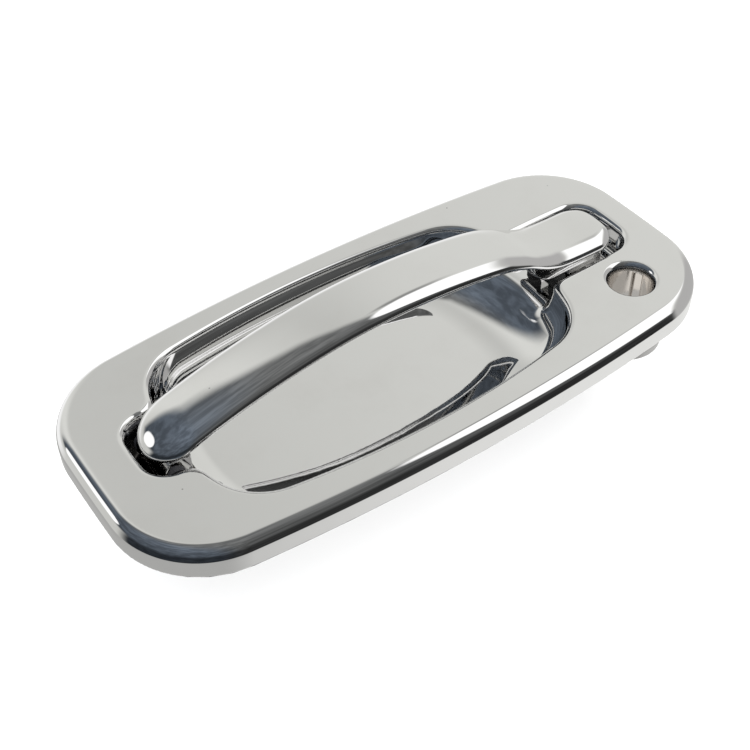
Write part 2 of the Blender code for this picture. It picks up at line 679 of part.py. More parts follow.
def make_handle_shell():
    turn_in, turn_down = SHELL_EDGE
    wall = STRAP_SHELL_WALL
    shell = strap_solid("handle_shell", 0.0, 0.0, lambda x: strap_edge(x) - turn_down, turn_in)
    inner = strap_solid("shell_inner", wall, wall, lambda x: strap_edge(x) - SHELL_OPEN_DROP, 0.0)
    combine(shell, "DIFFERENCE", inner)
    for _, x in SCREW_PLACES:
        edge = strap_edge(x)
        crown = edge + strap_crown(x)
        boss = turned_z("screw_boss", [(SCREW_BOSS_RADIUS, edge - SCREW_BOSS_DROP),
                                       (SCREW_BOSS_RADIUS, crown - SCREW_BOSS_TOP)], x, STRAP_CENTRE_Y)
        combine(shell, "UNION", boss)
        hole = turned_z("screw_hole", [(SCREW_RADIUS + GAP, edge - SCREW_HOLE_DROP),
                                       (SCREW_RADIUS + GAP, crown - SCREW_HOLE_TOP)],
                        x, STRAP_CENTRE_Y, SMALL_CIRCLE_STEPS)
        combine(shell, "DIFFERENCE", hole)
    return finish(shell, "chrome", (HINGE_X, STRAP_CENTRE_Y, HINGE_Z))


def backing_bottom(x):
    """Underside of the backing: it follows the arch, and is level under the pad."""
    arch = strap_edge(x) - BACKING_DROP
    return arch + (PAD_UNDERSIDE_Z - arch) * smooth_share(x, *PAD_BLEND)


def knuckle():
    """The hinge knuckle that reaches down from the front end into the pocket."""
    outline = arc((HINGE_X, HINGE_Z), KNUCKLE_RADIUS, -math.pi, 0.0, 10)
    outline += [(HINGE_X + x, z) for x, z in KNUCKLE_NECK]
    return plate_xz("knuckle", outline, KNUCKLE_Y)


def make_handle_backing():
    inset = STRAP_SHELL_WALL + GAP
    backing = strap_solid("handle_backing", inset, inset, backing_bottom, BACKING_LEAN)
    combine(backing, "UNION", knuckle())
    cuts = [turned_y("knuckle_bore", [(BUSHING_OUTER + GAP, KNUCKLE_Y[0] - PAST),
                                      (BUSHING_OUTER + GAP, KNUCKLE_Y[1] + PAST)], HINGE_X, HINGE_Z)]
    way = SCREW_RADIUS + GAP
    for _, x in SCREW_PLACES:
        edge, low = strap_edge(x), backing_bottom(x)
        cuts.append(turned_z("boss_well", [(SCREW_BOSS_RADIUS + GAP, edge - BOSS_WELL_DROP),
                                           (SCREW_BOSS_RADIUS + GAP, edge + BOSS_WELL_HEIGHT)], x, STRAP_CENTRE_Y))
        cuts.append(turned_z("screw_way", [(way, low - PAST), (way, edge)], x, STRAP_CENTRE_Y,
                             SMALL_CIRCLE_STEPS))
        cuts.append(turned_z("head_recess", [(SCREW_HEAD_RADIUS + GAP, low - PAST),
                                             (SCREW_HEAD_RADIUS + GAP, low + SCREW_RECESS)], x, STRAP_CENTRE_Y))
    cuts.append(turned_z("leg_screw_way", [(way, PAD_UNDERSIDE_Z - PAST),
                                           (way, PAD_UNDERSIDE_Z + LEG_SCREW_DEPTH)],
                         LEG_SCREW_X, STRAP_CENTRE_Y, SMALL_CIRCLE_STEPS))
    combine(backing, "DIFFERENCE", *cuts)
    return finish(backing, "chrome", (HINGE_X, STRAP_CENTRE_Y, HINGE_Z))


def screw_profile(head_top, rim, thickness, tip):
    """Profile of a chamfered-head screw, from under its head to its tip."""
    return [(SCREW_HEAD_RADIUS - SCREW_HEAD_CHAMFER, head_top - thickness), (SCREW_HEAD_RADIUS, head_top - rim),
            (SCREW_HEAD_RADIUS, head_top), (SCREW_RADIUS, head_top), (SCREW_RADIUS, tip)]


def make_handle_screws():
    for place, x in SCREW_PLACES:
        head_top = backing_bottom(x) + SCREW_RECESS - GAP
        tip = strap_edge(x) + strap_crown(x) - SCREW_HOLE_TOP - GAP
        profile = screw_profile(head_top, SCREW_HEAD_RIM, SCREW_HEAD_THICKNESS, tip)
        finish(turned_z("handle_screw_" + place, profile, x, STRAP_CENTRE_Y, HEAD_CIRCLE_STEPS), "zinc",
               (HINGE_X, STRAP_CENTRE_Y, HINGE_Z))


# ---------------------------------------------------------------- hinge

def make_hinge_pin():
    head = FRONT_POCKET[2] - SHELL_WALL - GAP
    clip_seat = FRONT_POCKET[3] + SHELL_WALL + GAP
    return make_pin("hinge_pin", HINGE_X, HINGE_Z, head, clip_seat)


def make_pin(name, x, z, head, clip_seat):
    """A headed pin along Y with a groove for its retaining clip."""
    groove = PIN_RADIUS - GROOVE_DEPTH
    groove_end = clip_seat + CLIP_THICKNESS + 2 * GAP
    taper, tip = PIN_TIP
    top = head - HEAD_THICKNESS
    profile = [(HEAD_RADIUS - HEAD_CHAMFER, top), (HEAD_RADIUS, top + HEAD_CHAMFER),
               (HEAD_RADIUS, head), (PIN_RADIUS, head), (PIN_RADIUS, clip_seat), (groove, clip_seat),
               (groove, groove_end), (PIN_RADIUS, groove_end), (PIN_RADIUS - taper, groove_end + tip)]
    return finish(turned_y(name, profile, x, z), "zinc", (x, 0.0, z))


def make_clip(name, x, z, clip_seat):
    """A retaining clip: a ring with an open side that springs into the pin's groove."""
    inner = PIN_RADIUS - GROOVE_DEPTH + GAP
    first = QUARTER_TURN + CLIP_HALF_OPENING
    last = QUARTER_TURN + 2 * math.pi - CLIP_HALF_OPENING
    outline = arc((x, z), CLIP_RADIUS, first, last, 16)
    outline += arc((x, z), CLIP_RADIUS, last, first, 1)
    outline += arc((x, z), inner, last, first, 12)
    outline += arc((x, z), inner, first, last, 1)
    ring = plate_xz(name, outline, (clip_seat + GAP, clip_seat + GAP + CLIP_THICKNESS))
    return finish(ring, "spring_steel", (x, 0.0, z))


def make_hinge_bushings():
    for place, seat, side in (("near", KNUCKLE_Y[0], -1.0), ("far", KNUCKLE_Y[1], 1.0)):
        face = seat + side * GAP
        outer = face + side * BUSHING_FLANGE
        inner = seat - side * BUSHING_LENGTH
        bore = PIN_RADIUS + GAP
        rings = [(bore, outer), (BUSHING_FLANGE_RADIUS, outer), (BUSHING_FLANGE_RADIUS, face),
                 (BUSHING_OUTER, face), (BUSHING_OUTER, inner), (bore, inner)]
        loops = []
        for radius, y in rings:
            loops.append([(px, y, pz) for px, pz in circle(radius, CIRCLE_STEPS, (HINGE_X, HINGE_Z))])
        finish(loft("hinge_bushing_" + place, loops, closed=True), "white_plastic", (HINGE_X, 0.0, HINGE_Z))


# ---------------------------------------------------------------- leg and bumpers

def make_pull_leg():
    """A steel strip: flange under the pad, shank down through the slot, toe under the crank."""
    top = PAD_UNDERSIDE_Z - GAP
    bottom = top - LEG_PLATE
    foot_top = LEG_FOOT_Z + LEG_PLATE
    front, back = LEG_X
    outline = [(LEG_TOE_FRONT, LEG_FOOT_Z), (back - LEG_HEEL_CHAMFER, LEG_FOOT_Z),
               (back, LEG_FOOT_Z + LEG_HEEL_CHAMFER),
               (back, top), (LEG_FLANGE_FRONT, top), (LEG_FLANGE_FRONT, bottom), (front, bottom),
               (front, foot_top), (LEG_TOE_FRONT, foot_top)]
    leg = plate_xz("pull_leg", outline, LEG_Y)
    way = SCREW_RADIUS + GAP
    hole = turned_z("leg_hole", [(way, bottom - PAST), (way, top + PAST)], LEG_SCREW_X, STRAP_CENTRE_Y,
                    SMALL_CIRCLE_STEPS)
    combine(leg, "DIFFERENCE", hole)
    finish(leg, "zinc", (HINGE_X, STRAP_CENTRE_Y, HINGE_Z))
    profile = screw_profile(bottom - GAP, *LEG_SCREW_HEAD, PAD_UNDERSIDE_Z + LEG_SCREW_DEPTH - GAP)
    screw = turned_z("leg_screw", profile, LEG_SCREW_X, STRAP_CENTRE_Y, HEAD_CIRCLE_STEPS)
    finish(screw, "zinc", (HINGE_X, STRAP_CENTRE_Y, HINGE_Z))


def make_bumpers():
    for place, y in BUMPER_YS:
        profile = [(BUMPER_RADIUS, REAR_POCKET_FLOOR + GAP), (BUMPER_RADIUS, BUMPER_SHOULDER_Z),
                   (BUMPER_RADIUS - BUMPER_TAPER, PAD_UNDERSIDE_Z - GAP)]
        finish(turned_z("rubber_bumper_" + place, profile, BUMPER_X, y), "rubber")


# ---------------------------------------------------------------- bell crank

def polar(radius, angle):
    return (CRANK_X + radius * math.cos(angle), CRANK_Z + radius * math.sin(angle))


def make_bell_crank():
    arm_end = polar(CRANK_ARM, CRANK_ARM_ANGLE)
    rod_end = polar(CRANK_OUTPUT_ARM, CRANK_OUTPUT_ANGLE)
    centre = (CRANK_X, CRANK_Z)
    crank = turned_y("bell_crank", [(CRANK_HUB_RADIUS, CRANK_HUB_Y[0]), (CRANK_HUB_RADIUS, CRANK_HUB_Y[1])],
                     CRANK_X, CRANK_Z)
    arm = plate_xz("arm", capsule(centre, arm_end, CRANK_ARM_ROOT, CRANK_NOSE_RADIUS), CRANK_ARM_Y)
    output = plate_xz("output", capsule(centre, rod_end, CRANK_OUTPUT_ROOT, ROD_EYE_RADIUS),
                      (CRANK_ARM_Y[0] + CRANK_OUTPUT_INSET, CRANK_ARM_Y[1] - CRANK_OUTPUT_INSET))
    combine(crank, "UNION", arm, output)
    bore = turned_y("bore", [(CRANK_BUSHING_OUTER + GAP, CRANK_HUB_Y[0] - PAST),
                             (CRANK_BUSHING_OUTER + GAP, CRANK_HUB_Y[1] + PAST)], CRANK_X, CRANK_Z)
    rod_hole = turned_y("rod_hole", [(ROD_HOLE_RADIUS, CRANK_ARM_Y[0] - PAST),
                                     (ROD_HOLE_RADIUS, CRANK_ARM_Y[1] + PAST)], *rod_end)
    combine(crank, "DIFFERENCE", bore, rod_hole)
    return finish(crank, "zinc", (CRANK_X, 0.0, CRANK_Z))


def make_crank_bushing():
    inner = PIN_RADIUS + GAP
    loops = []
    for radius, y in ((inner, CRANK_HUB_Y[0]), (CRANK_BUSHING_OUTER, CRANK_HUB_Y[0]),
                      (CRANK_BUSHING_OUTER, CRANK_HUB_Y[1]), (inner, CRANK_HUB_Y[1])):
        loops.append([(px, y, pz) for px, pz in circle(radius, CIRCLE_STEPS, (CRANK_X, CRANK_Z))])
    return finish(loft("crank_bushing", loops, closed=True), "white_plastic", (CRANK_X, 0.0, CRANK_Z))


def make_return_spring():
    """A torsion spring round the crank's hub, wound from its far end to its near end."""
    steps = int(SPRING_TURNS * SPRING_STEPS_PER_TURN)
    near, far = SPRING_Y
    path = []
    for i in range(steps + 1):
        t = i / steps
        angle = SPRING_START - t * SPRING_TURNS * 2 * math.pi
        x, z = polar(SPRING_MEAN_RADIUS, angle)
        path.append((x, far + (near - far) * t, z))
    return finish(wire("return_spring", path, SPRING_WIRE), "spring_steel", (CRANK_X, 0.0, CRANK_Z), 60.0)


def wire(name, path, radius, sides=6):
    """A round wire along a path, with flat ends."""
    loops = []
    for i, here in enumerate(path):
        ahead = Vector(path[min(i + 1, len(path) - 1)])
        behind = Vector(path[max(i - 1, 0)])
        heading = (ahead - behind).normalized()
        side = heading.cross(Vector((0.0, 1.0, 0.0))).normalized()
        up = side.cross(heading)
        loop = []
        for k in range(sides):
            angle = 2 * math.pi * k / sides
            loop.append(Vector(here) + radius * (math.cos(angle) * side + math.sin(angle) * up))
        loops.append(loop)
    return loft(name, loops)


def make_rod_clip():
    """The swivelling clip that takes the latch rod: a stem through the crank and a grooved head."""
    x, z = polar(CRANK_OUTPUT_ARM, CRANK_OUTPUT_ANGLE)
    tail_x, tail_z = x + ROD_TAIL[0], z + ROD_TAIL[1]
    stem = ROD_HOLE_RADIUS - GAP
    near, far = CRANK_ARM_Y[0] + CRANK_OUTPUT_INSET, CRANK_ARM_Y[1] - CRANK_OUTPUT_INSET
    across, along = ROD_CLIP_CHAMFER
    profile = [(ROD_CLIP_RADIUS - across, near - ROD_CLIP_HEAD), (ROD_CLIP_RADIUS, near - ROD_CLIP_HEAD + along),
               (ROD_CLIP_RADIUS, near - GAP), (stem, near - GAP), (stem, far + GAP),
               (stem + ROD_CLIP_BARB, far + GAP), (stem, far + ROD_CLIP_TIP)]
    clip = turned_y("rod_clip", profile, x, z)
    tail = plate_xz("tail", capsule((x, z), (tail_x, tail_z), *ROD_TAIL_RADII),
                    tuple(near - depth for depth in ROD_TAIL_DEPTHS))
    combine(clip, "UNION", tail)
    rod_way = turned_y("rod_way", [(ROD_WAY_RADIUS, near - ROD_CLIP_HEAD - PAST), (ROD_WAY_RADIUS, near)],
                       tail_x, tail_z, SMALL_CIRCLE_STEPS)
    combine(clip, "DIFFERENCE", rod_way)
    return finish(clip, "black_plastic", (x, 0.0, z))


# ---------------------------------------------------------------- mounting hardware

def make_studs():
    for place, x, y in STUD_PLACES:
        low, high = STUD_Z
        taper, tip = STUD_TIP
        profile = [(STUD_RADIUS - taper, low), (STUD_RADIUS, low + tip), (STUD_RADIUS, high)]
        finish(turned_z("stud_" + place, profile, x, y), "zinc")
        make_washer("washer_" + place, x, y)
        make_nut("nut_" + place, x, y)


def make_washer(name, x, y):
    low = WASHER_TOP - WASHER_THICKNESS
    inner = circle(STUD_RADIUS + GAP, CIRCLE_STEPS, (x, y))
    outer = circle(WASHER_RADIUS, CIRCLE_STEPS, (x, y))
    loops = [lift(inner, low), lift(outer, low), lift(outer, WASHER_TOP), lift(inner, WASHER_TOP)]
    return finish(loft(name, loops, closed=True), "zinc")


def make_nut(name, x, y):
    top = WASHER_TOP - WASHER_THICKNESS - GAP
    corner = NUT_FLATS / 2 / math.cos(math.pi / 6)
    bottom = top - NUT_HEIGHT
    nut = turned_z(name, [(corner, bottom), (corner, top)], x, y, 6)
    wide = corner + NUT_CHAMFER_BREAK
    chamfer = turned_z("chamfer", [(corner - NUT_CHAMFER, bottom - NUT_CHAMFER_BREAK),
                                   (wide, bottom + NUT_CHAMFER), (wide, top + PAST)], x, y)
    combine(nut, "INTERSECT", chamfer)
    combine(nut, "DIFFERENCE", turned_z("nut_bore", [(STUD_RADIUS + GAP, bottom - PAST),
                                                     (STUD_RADIUS + GAP, top + PAST)], x, y))
    return finish(nut, "zinc")


def main():
    for item in list(bpy.data.objects):
        bpy.data.objects.remove(item)
    make_bezel()
    make_gasket()
    make_handle_shell()
    make_handle_backing()
    make_handle_screws()
    make_hinge_pin()
    make_clip("hinge_clip", HINGE_X, HINGE_Z, FRONT_POCKET[3] + SHELL_WALL + GAP)
    make_hinge_bushings()
    make_pull_leg()
    make_bumpers()
    make_bell_crank()
    make_crank_bushing()
    make_pin("crank_pin", CRANK_X, CRANK_Z, LUG_Y[0][0] - GAP, LUG_Y[1][1] + GAP)
    make_clip("crank_clip", CRANK_X, CRANK_Z, LUG_Y[1][1] + GAP)
    make_return_spring()
    make_rod_clip()
    make_studs()


main()
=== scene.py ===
"""Looks of the chrome car door handle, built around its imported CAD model.

The bezel and the strap are rebuilt as fine smooth skins on the CAD's own dimensions, because mirror chrome
shows every facet. The studs get a cut thread, the other small pieces keep their CAD solids, and all get
procedural materials. Shape code works in millimetres; meshes are made in metres.
"""
import json
import math

import bmesh
import bpy
import numpy as np
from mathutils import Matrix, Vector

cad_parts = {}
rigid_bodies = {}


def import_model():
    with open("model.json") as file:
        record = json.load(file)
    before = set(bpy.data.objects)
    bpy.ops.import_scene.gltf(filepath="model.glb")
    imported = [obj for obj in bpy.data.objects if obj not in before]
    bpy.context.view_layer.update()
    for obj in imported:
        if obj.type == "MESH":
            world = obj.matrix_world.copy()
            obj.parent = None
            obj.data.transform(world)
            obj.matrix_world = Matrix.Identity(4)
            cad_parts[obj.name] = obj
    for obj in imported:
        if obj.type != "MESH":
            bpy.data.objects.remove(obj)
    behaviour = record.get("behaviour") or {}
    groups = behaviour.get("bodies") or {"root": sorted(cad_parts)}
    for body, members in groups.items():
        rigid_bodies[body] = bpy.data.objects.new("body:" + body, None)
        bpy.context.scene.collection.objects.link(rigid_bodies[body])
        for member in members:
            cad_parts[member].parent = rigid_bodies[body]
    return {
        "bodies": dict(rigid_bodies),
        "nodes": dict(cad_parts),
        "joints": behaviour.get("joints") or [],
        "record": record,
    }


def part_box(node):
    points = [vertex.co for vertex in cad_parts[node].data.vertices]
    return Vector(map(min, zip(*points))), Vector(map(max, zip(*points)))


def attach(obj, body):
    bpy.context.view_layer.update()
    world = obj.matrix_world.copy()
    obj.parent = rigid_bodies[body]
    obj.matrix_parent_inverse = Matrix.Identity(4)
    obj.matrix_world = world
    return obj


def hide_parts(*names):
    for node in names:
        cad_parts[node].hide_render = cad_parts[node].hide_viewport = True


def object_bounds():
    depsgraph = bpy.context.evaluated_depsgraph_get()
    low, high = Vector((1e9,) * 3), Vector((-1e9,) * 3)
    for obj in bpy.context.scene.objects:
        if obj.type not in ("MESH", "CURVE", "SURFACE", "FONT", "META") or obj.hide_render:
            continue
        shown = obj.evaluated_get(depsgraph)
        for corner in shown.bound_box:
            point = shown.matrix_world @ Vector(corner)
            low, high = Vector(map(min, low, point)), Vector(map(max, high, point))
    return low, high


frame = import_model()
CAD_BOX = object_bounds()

MM = 0.001
QUARTER_TURN = math.pi / 2


def node_box(node):
    """A CAD node's lowest and highest corners, in millimetres."""
    low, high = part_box(node)
    return np.array(low) / MM, np.array(high) / MM


# ---------------------------------------------------------------- dimensions
# The bezel's outline, rim and walls
BEZEL_LOW, BEZEL_HIGH = node_box("bezel")
HALF_LENGTH, HALF_WIDTH, FACE_Z = BEZEL_HIGH
SIDE_RADIUS, END_RADIUS, CORNER_RADIUS = 860.0, 900.0, 35.0
RIM_ROUND, RIM_WALL, FACE_THICKNESS, SHELL_WALL, LIP = 5.2, 3.0, 2.8, 2.5, 2.5
RIM_INNER_ROUND, RIM_FOOT_ROUND = 3.0, 0.7
FILLET, RIB_FILLET, CUT_EDGE = 1.6, 1.2, 0.3

# Finger cup and the pockets at its ends
CUP_LEFT, CUP_RIGHT, CUP_CENTRE_Y, CUP_HALF_WIDTH = -89.0, 66.0, 0.9, 44.4
CUP_SIDE_RADIUS, CUP_END_RADIUS, CUP_CORNER = 350.0, 75.0, 24.0
CUP_LEFT_RUN, CUP_RIGHT_RUN, CUP_SIDE_RUN, CUP_CORNER_LOSS = 13.0, 28.0, 13.0, 12.0
CUP_FLOOR_Z, CUP_FLOOR_SLOPE, CUP_DISH_RADIUS = -11.8, -0.040, 420.0
WALL_TOP = FACE_Z - LIP
WEB = 5.0                  # how softly the cup runs into the pockets
FRONT_POCKET = (-102.5, -76.0, -14.0, 19.5, -6.0)       # left, right, near, far, floor
REAR_POCKET = (50.0, 106.7, -14.3, 21.3, -1.0)
POCKET_CORNER, POCKET_FILLET, POCKET_SIDE_RADIUS, POCKET_END_RADIUS = 11.5, 2.5, 400.0, 120.0

# Keyhole and lock housing
LOCK_X, LOCK_Y = 88.0, -27.5
LOCK_BORE, LOCK_LIP, LOCK_LIP_DEPTH = 8.2, 10.5, 3.3
LOCK_HOUSING, LOCK_END, LOCK_END_ROUND = 14.5, BEZEL_LOW[2] + 8.0, 0.8
LOCK_SLOT_ANGLE, LOCK_SLOT_HALF, LOCK_SLOT_REACH = math.radians(25.0), 1.8, 9.8
LOCK_SLOT_START, LOCK_SLOT_BELOW_LIP = 5.2, 0.8

# Strap: shell, backing and hinge knuckle. STRAP_EDGE is (x, height above the face) along its lower edge.
STRAP_Y, STRAP_HALF = 2.5, 12.5
STRAP_FRONT, STRAP_REAR, NOSE_RUN, REAR_CORNER = -97.5, 98.6, 13.5, 10.0
NOSE_POWER, TAIL_RUN = 2.3, 4.0
SECTION_BLEND = (-40.0, 40.0)          # where the front section runs into the rear one
STRAP_WALL, GAP, SHELL_DROP = 2.2, 0.3, 0.5
CROWN_FRONT, CROWN_REAR, ROUND_FRONT, ROUND_REAR = 5.0, 4.2, 2.3, 2.9
STRAP_EDGE = ((-97.5, -1.0), (-90.0, 1.6), (-81.5, 4.8), (-64.0, 10.0), (-46.0, 14.0), (-28.0, 16.8),
              (-9.0, 17.9), (12.0, 17.2), (30.0, 15.3), (45.0, 12.7), (54.0, 9.4), (62.0, 5.3),
              (70.0, 2.4), (80.0, 1.3), (98.6, 0.9))
BACKING_DROP, BACKING_LEAN, BACKING_EDGE = 3.4, 1.6, 1.1
PAD_START, PAD_BLEND, PAD_UNDERSIDE = 54.0, 16.0, 5.0
HINGE_X, HINGE_Z, PIN_RADIUS, KNUCKLE_RADIUS = -91.0, 1.0, 2.0, 4.6
KNUCKLE_NEAR, KNUCKLE_FAR, KNUCKLE_BORE, KNUCKLE_EDGE = -7.4, 12.4, 3.5, 0.4
KNUCKLE_FILLET = 1.2
NECK_LENGTH, NECK_TOP, NECK_SLOPE_START, NECK_SLOPE, NECK_FILLET = 1.5, 10.4, 4.5, 0.55, 0.5
SCREW_XS, SCREW_RADIUS, SCREW_HEAD, SCREW_RECESS, SCREW_EDGE = (-66.0, 40.0), 1.3, 2.8, 1.3, 0.2
BOSS_WELL_RADIUS, BOSS_WELL_BELOW_EDGE = 3.3, 0.9
LEG_SCREW_X, LEG_SCREW_DEPTH = 84.0, 5.5

# What stands on the bezel's back
CRANK_X, CRANK_Z, LUG_RADIUS = 62.0, -18.0, 7.0
LUG_YS, LUG_HALF, LUG_EDGE = (-6.1, 13.8), 1.5, 0.4
STUDS, STUD_RADIUS, STUD_TOP = ((-93.0, 34.0), (84.0, 36.0)), 3.0, 6.4
STUD_TAPER, STUD_TAPER_LENGTH, STUD_TAPER_SCALE, STUD_EDGE = 0.8, 1.2, 0.8, 0.2
THREAD_TOP, THREAD_PITCH, THREAD_DEPTH = -2.5, 1.0, 0.45
BOSS_RADIUS, BOSS_END, BOSS_EDGE = 6.2, -1.0, 0.5
PEG_X, PEG_Y, PEG_RADIUS, PEG_END, PEG_ROUND = -93.0, -33.0, 3.4, -5.0, 1.0
RIB_XS, RIB_YS, RIB_HALF, RIB_BOTTOM = (-55.0, -20.0, 15.0, 48.0), (-8.0, 13.0), 1.0, 3.2
LEG_SLOT_CENTRE, LEG_SLOT_HALF, LEG_SLOT_Z = (94.25, 2.5), (4.25, 8.7), (-5.0, 1.0)
HINGE_PIN_WAY, CRANK_PIN_WAY = (-20.0, 25.5), (-9.0, 17.0)


# ---------------------------------------------------------------- implicit forms
def rounded_max(a, b, radius):
    """The common part of two solids, with the edge between them rounded off."""
    low, high = a + radius, b + radius
    outside = np.hypot(np.maximum(low, 0.0), np.maximum(high, 0.0))
    return np.minimum(np.maximum(low, high), 0.0) + outside - radius


def soft_min(a, b, width):
    """Two solids joined with a small fillet."""
    share = np.clip(0.5 + 0.5 * (b - a) / width, 0.0, 1.0)
    return b + (a - b) * share - width * share * (1.0 - share)


def arc_rectangle(x, y, half_length, half_width, side_radius, end_radius, corner):
    """Signed distance in plan to a rectangle with bowed sides and round corners."""
    x, y = np.abs(x), np.abs(y)
    side_y, end_x = half_width - side_radius, half_length - end_radius
    to_side, to_end = side_radius - corner, end_radius - corner
    span = np.hypot(end_x, side_y)
    unit_x, unit_y = end_x / span, -side_y / span
    along = (to_side ** 2 - to_end ** 2 + span ** 2) / (2 * span)
    across = np.sqrt(to_side ** 2 - along ** 2)
    corner_x = unit_x * along + unit_y * across
    corner_y = side_y + unit_y * along - unit_x * across
    out_x, out_y = x - corner_x, y - corner_y
    past_end = (corner_x - end_x) * out_y - corner_y * out_x >= 0
    past_side = out_x * (corner_y - side_y) - out_y * corner_x >= 0
    sides = np.maximum(np.hypot(x, y - side_y) - side_radius, np.hypot(x - end_x, y) - end_radius)
    return np.where(past_end & past_side, np.hypot(out_x, out_y) - corner, sides)


def cup_outline(x, y, run):
    """Distance to the cup's outline at one level of its wall: run is 0 at the wall's top, 1 at the floor."""
    left = CUP_LEFT + LIP + run * CUP_LEFT_RUN
    right = CUP_RIGHT - LIP - run * CUP_RIGHT_RUN
    half_width = CUP_HALF_WIDTH - LIP - run * CUP_SIDE_RUN
    corner = CUP_CORNER - LIP - run * CUP_CORNER_LOSS
    return arc_rectangle(x - (left + right) / 2, y - CUP_CENTRE_Y, (right - left) / 2, half_width,
                         CUP_SIDE_RADIUS, CUP_END_RADIUS, corner)


def pocket_outline(x, y, pocket):
    """Distance to a pocket's wall in plan."""
    left, right, near, far, _ = pocket
    return arc_rectangle(x - (left + right) / 2, y - (near + far) / 2, (right - left) / 2 - LIP,
                         (far - near) / 2 - LIP, POCKET_SIDE_RADIUS, POCKET_END_RADIUS, POCKET_CORNER - LIP)


def bezel_plan(x, y):
    """What the bezel's form needs in plan: its outlines, and the level of the cup's wall at each point.

    The level is found by Newton's method, kept a little past the wall's top and the floor at most.
    """
    run = np.full(np.broadcast(x, y).shape, 0.5)
    probe, least_slope, past_top, past_floor = 0.02, 5.0, -0.7, 1.2
    for _ in range(8):
        here = cup_outline(x, y, run)
        slope = np.maximum((cup_outline(x, y, run + probe) - here) / probe, least_slope)
        run = np.clip(run - here / slope, past_top, past_floor)
    return {"rim": arc_rectangle(x, y, HALF_LENGTH, HALF_WIDTH, SIDE_RADIUS, END_RADIUS, CORNER_RADIUS),
            "dish": (y - CUP_CENTRE_Y) ** 2 / (2 * CUP_DISH_RADIUS),
            "share": np.maximum(1.0 - run, 0.0), "slope": slope,
            "front": pocket_outline(x, y, FRONT_POCKET), "rear": pocket_outline(x, y, REAR_POCKET)}


def cup_distance(plan, x, z):
    """About the distance to the cup's wall, a quarter ellipse from the floor to an upright top."""
    depth = WALL_TOP - CUP_FLOOR_Z - CUP_FLOOR_SLOPE * x - plan["dish"]
    across, down = plan["share"], np.maximum(WALL_TOP - z, 0.0) / depth
    length = np.maximum(np.hypot(across, down), 1e-4)
    steep = np.hypot(across / plan["slope"], down / depth) / length
    return (length - 1.0) / np.maximum(steep, 0.01)


def cylinder(a, b, centre, radius):
    """Distance outside a cylinder along the third axis."""
    return np.hypot(a - centre[0], b - centre[1]) - radius


def slab(value, low, high):
    """Distance outside a pair of parallel planes."""
    return np.abs(value - (low + high) / 2) - (high - low) / 2


def bezel_hollows(plan, x, z):
    """The cup and the two pockets, each as a form of its own."""
    cup = cup_distance(plan, x, z)
    front = rounded_max(plan["front"], FRONT_POCKET[4] - z, POCKET_FILLET)
    rear = rounded_max(plan["rear"], REAR_POCKET[4] - z, POCKET_FILLET)
    return cup, front, rear


def lock_slot(x, y, z):
    """The slot in the lock's bore for the cylinder's tumblers."""
    cos, sin = math.cos(LOCK_SLOT_ANGLE), math.sin(LOCK_SLOT_ANGLE)
    out = (x - LOCK_X) * cos + (y - LOCK_Y) * sin
    side = (y - LOCK_Y) * cos - (x - LOCK_X) * sin
    slot = np.maximum(np.abs(side) - LOCK_SLOT_HALF, slab(out, LOCK_SLOT_START, LOCK_SLOT_REACH))
    return np.maximum(slot, z - FACE_Z + LOCK_LIP_DEPTH + LOCK_SLOT_BELOW_LIP)


def leg_slot(x, y, z):
    """The way for the pull leg through the rear pocket's floor."""
    slot = np.maximum(np.abs(x - LEG_SLOT_CENTRE[0]) - LEG_SLOT_HALF[0],
                      np.abs(y - LEG_SLOT_CENTRE[1]) - LEG_SLOT_HALF[1])
    return np.maximum(slot, slab(z, *LEG_SLOT_Z))


def with_back_features(solid, x, y, z):
    """The bezel's shell with the lock housing, peg, stud bosses, crank lugs and ribs on its back."""
    lock = rounded_max(cylinder(x, y, (LOCK_X, LOCK_Y), LOCK_HOUSING), LOCK_END - z, LOCK_END_ROUND)
    solid = soft_min(solid, lock, FILLET)
    peg = rounded_max(cylinder(x, y, (PEG_X, PEG_Y), PEG_RADIUS), PEG_END - z, PEG_ROUND)
    solid = soft_min(solid, peg, FILLET)
    for place in STUDS:
        boss = rounded_max(cylinder(x, y, place, BOSS_RADIUS), BOSS_END - z, BOSS_EDGE)
        solid = soft_min(solid, boss, FILLET)
    below_pin = np.minimum(z - CRANK_Z, 0.0)
    for y_lug in LUG_YS:
        lug = np.hypot(x - CRANK_X, below_pin) - LUG_RADIUS
        lug = rounded_max(np.maximum(lug, z), np.abs(y - y_lug) - LUG_HALF, LUG_EDGE)
        solid = soft_min(solid, lug, FILLET)
    for x_rib in RIB_XS:
        solid = soft_min(solid, np.maximum(np.abs(x - x_rib) - RIB_HALF, RIB_BOTTOM - z), RIB_FILLET)
    for y_rib in RIB_YS:
        solid = soft_min(solid, np.maximum(np.abs(y - y_rib) - RIB_HALF, RIB_BOTTOM - z), RIB_FILLET)
    return solid


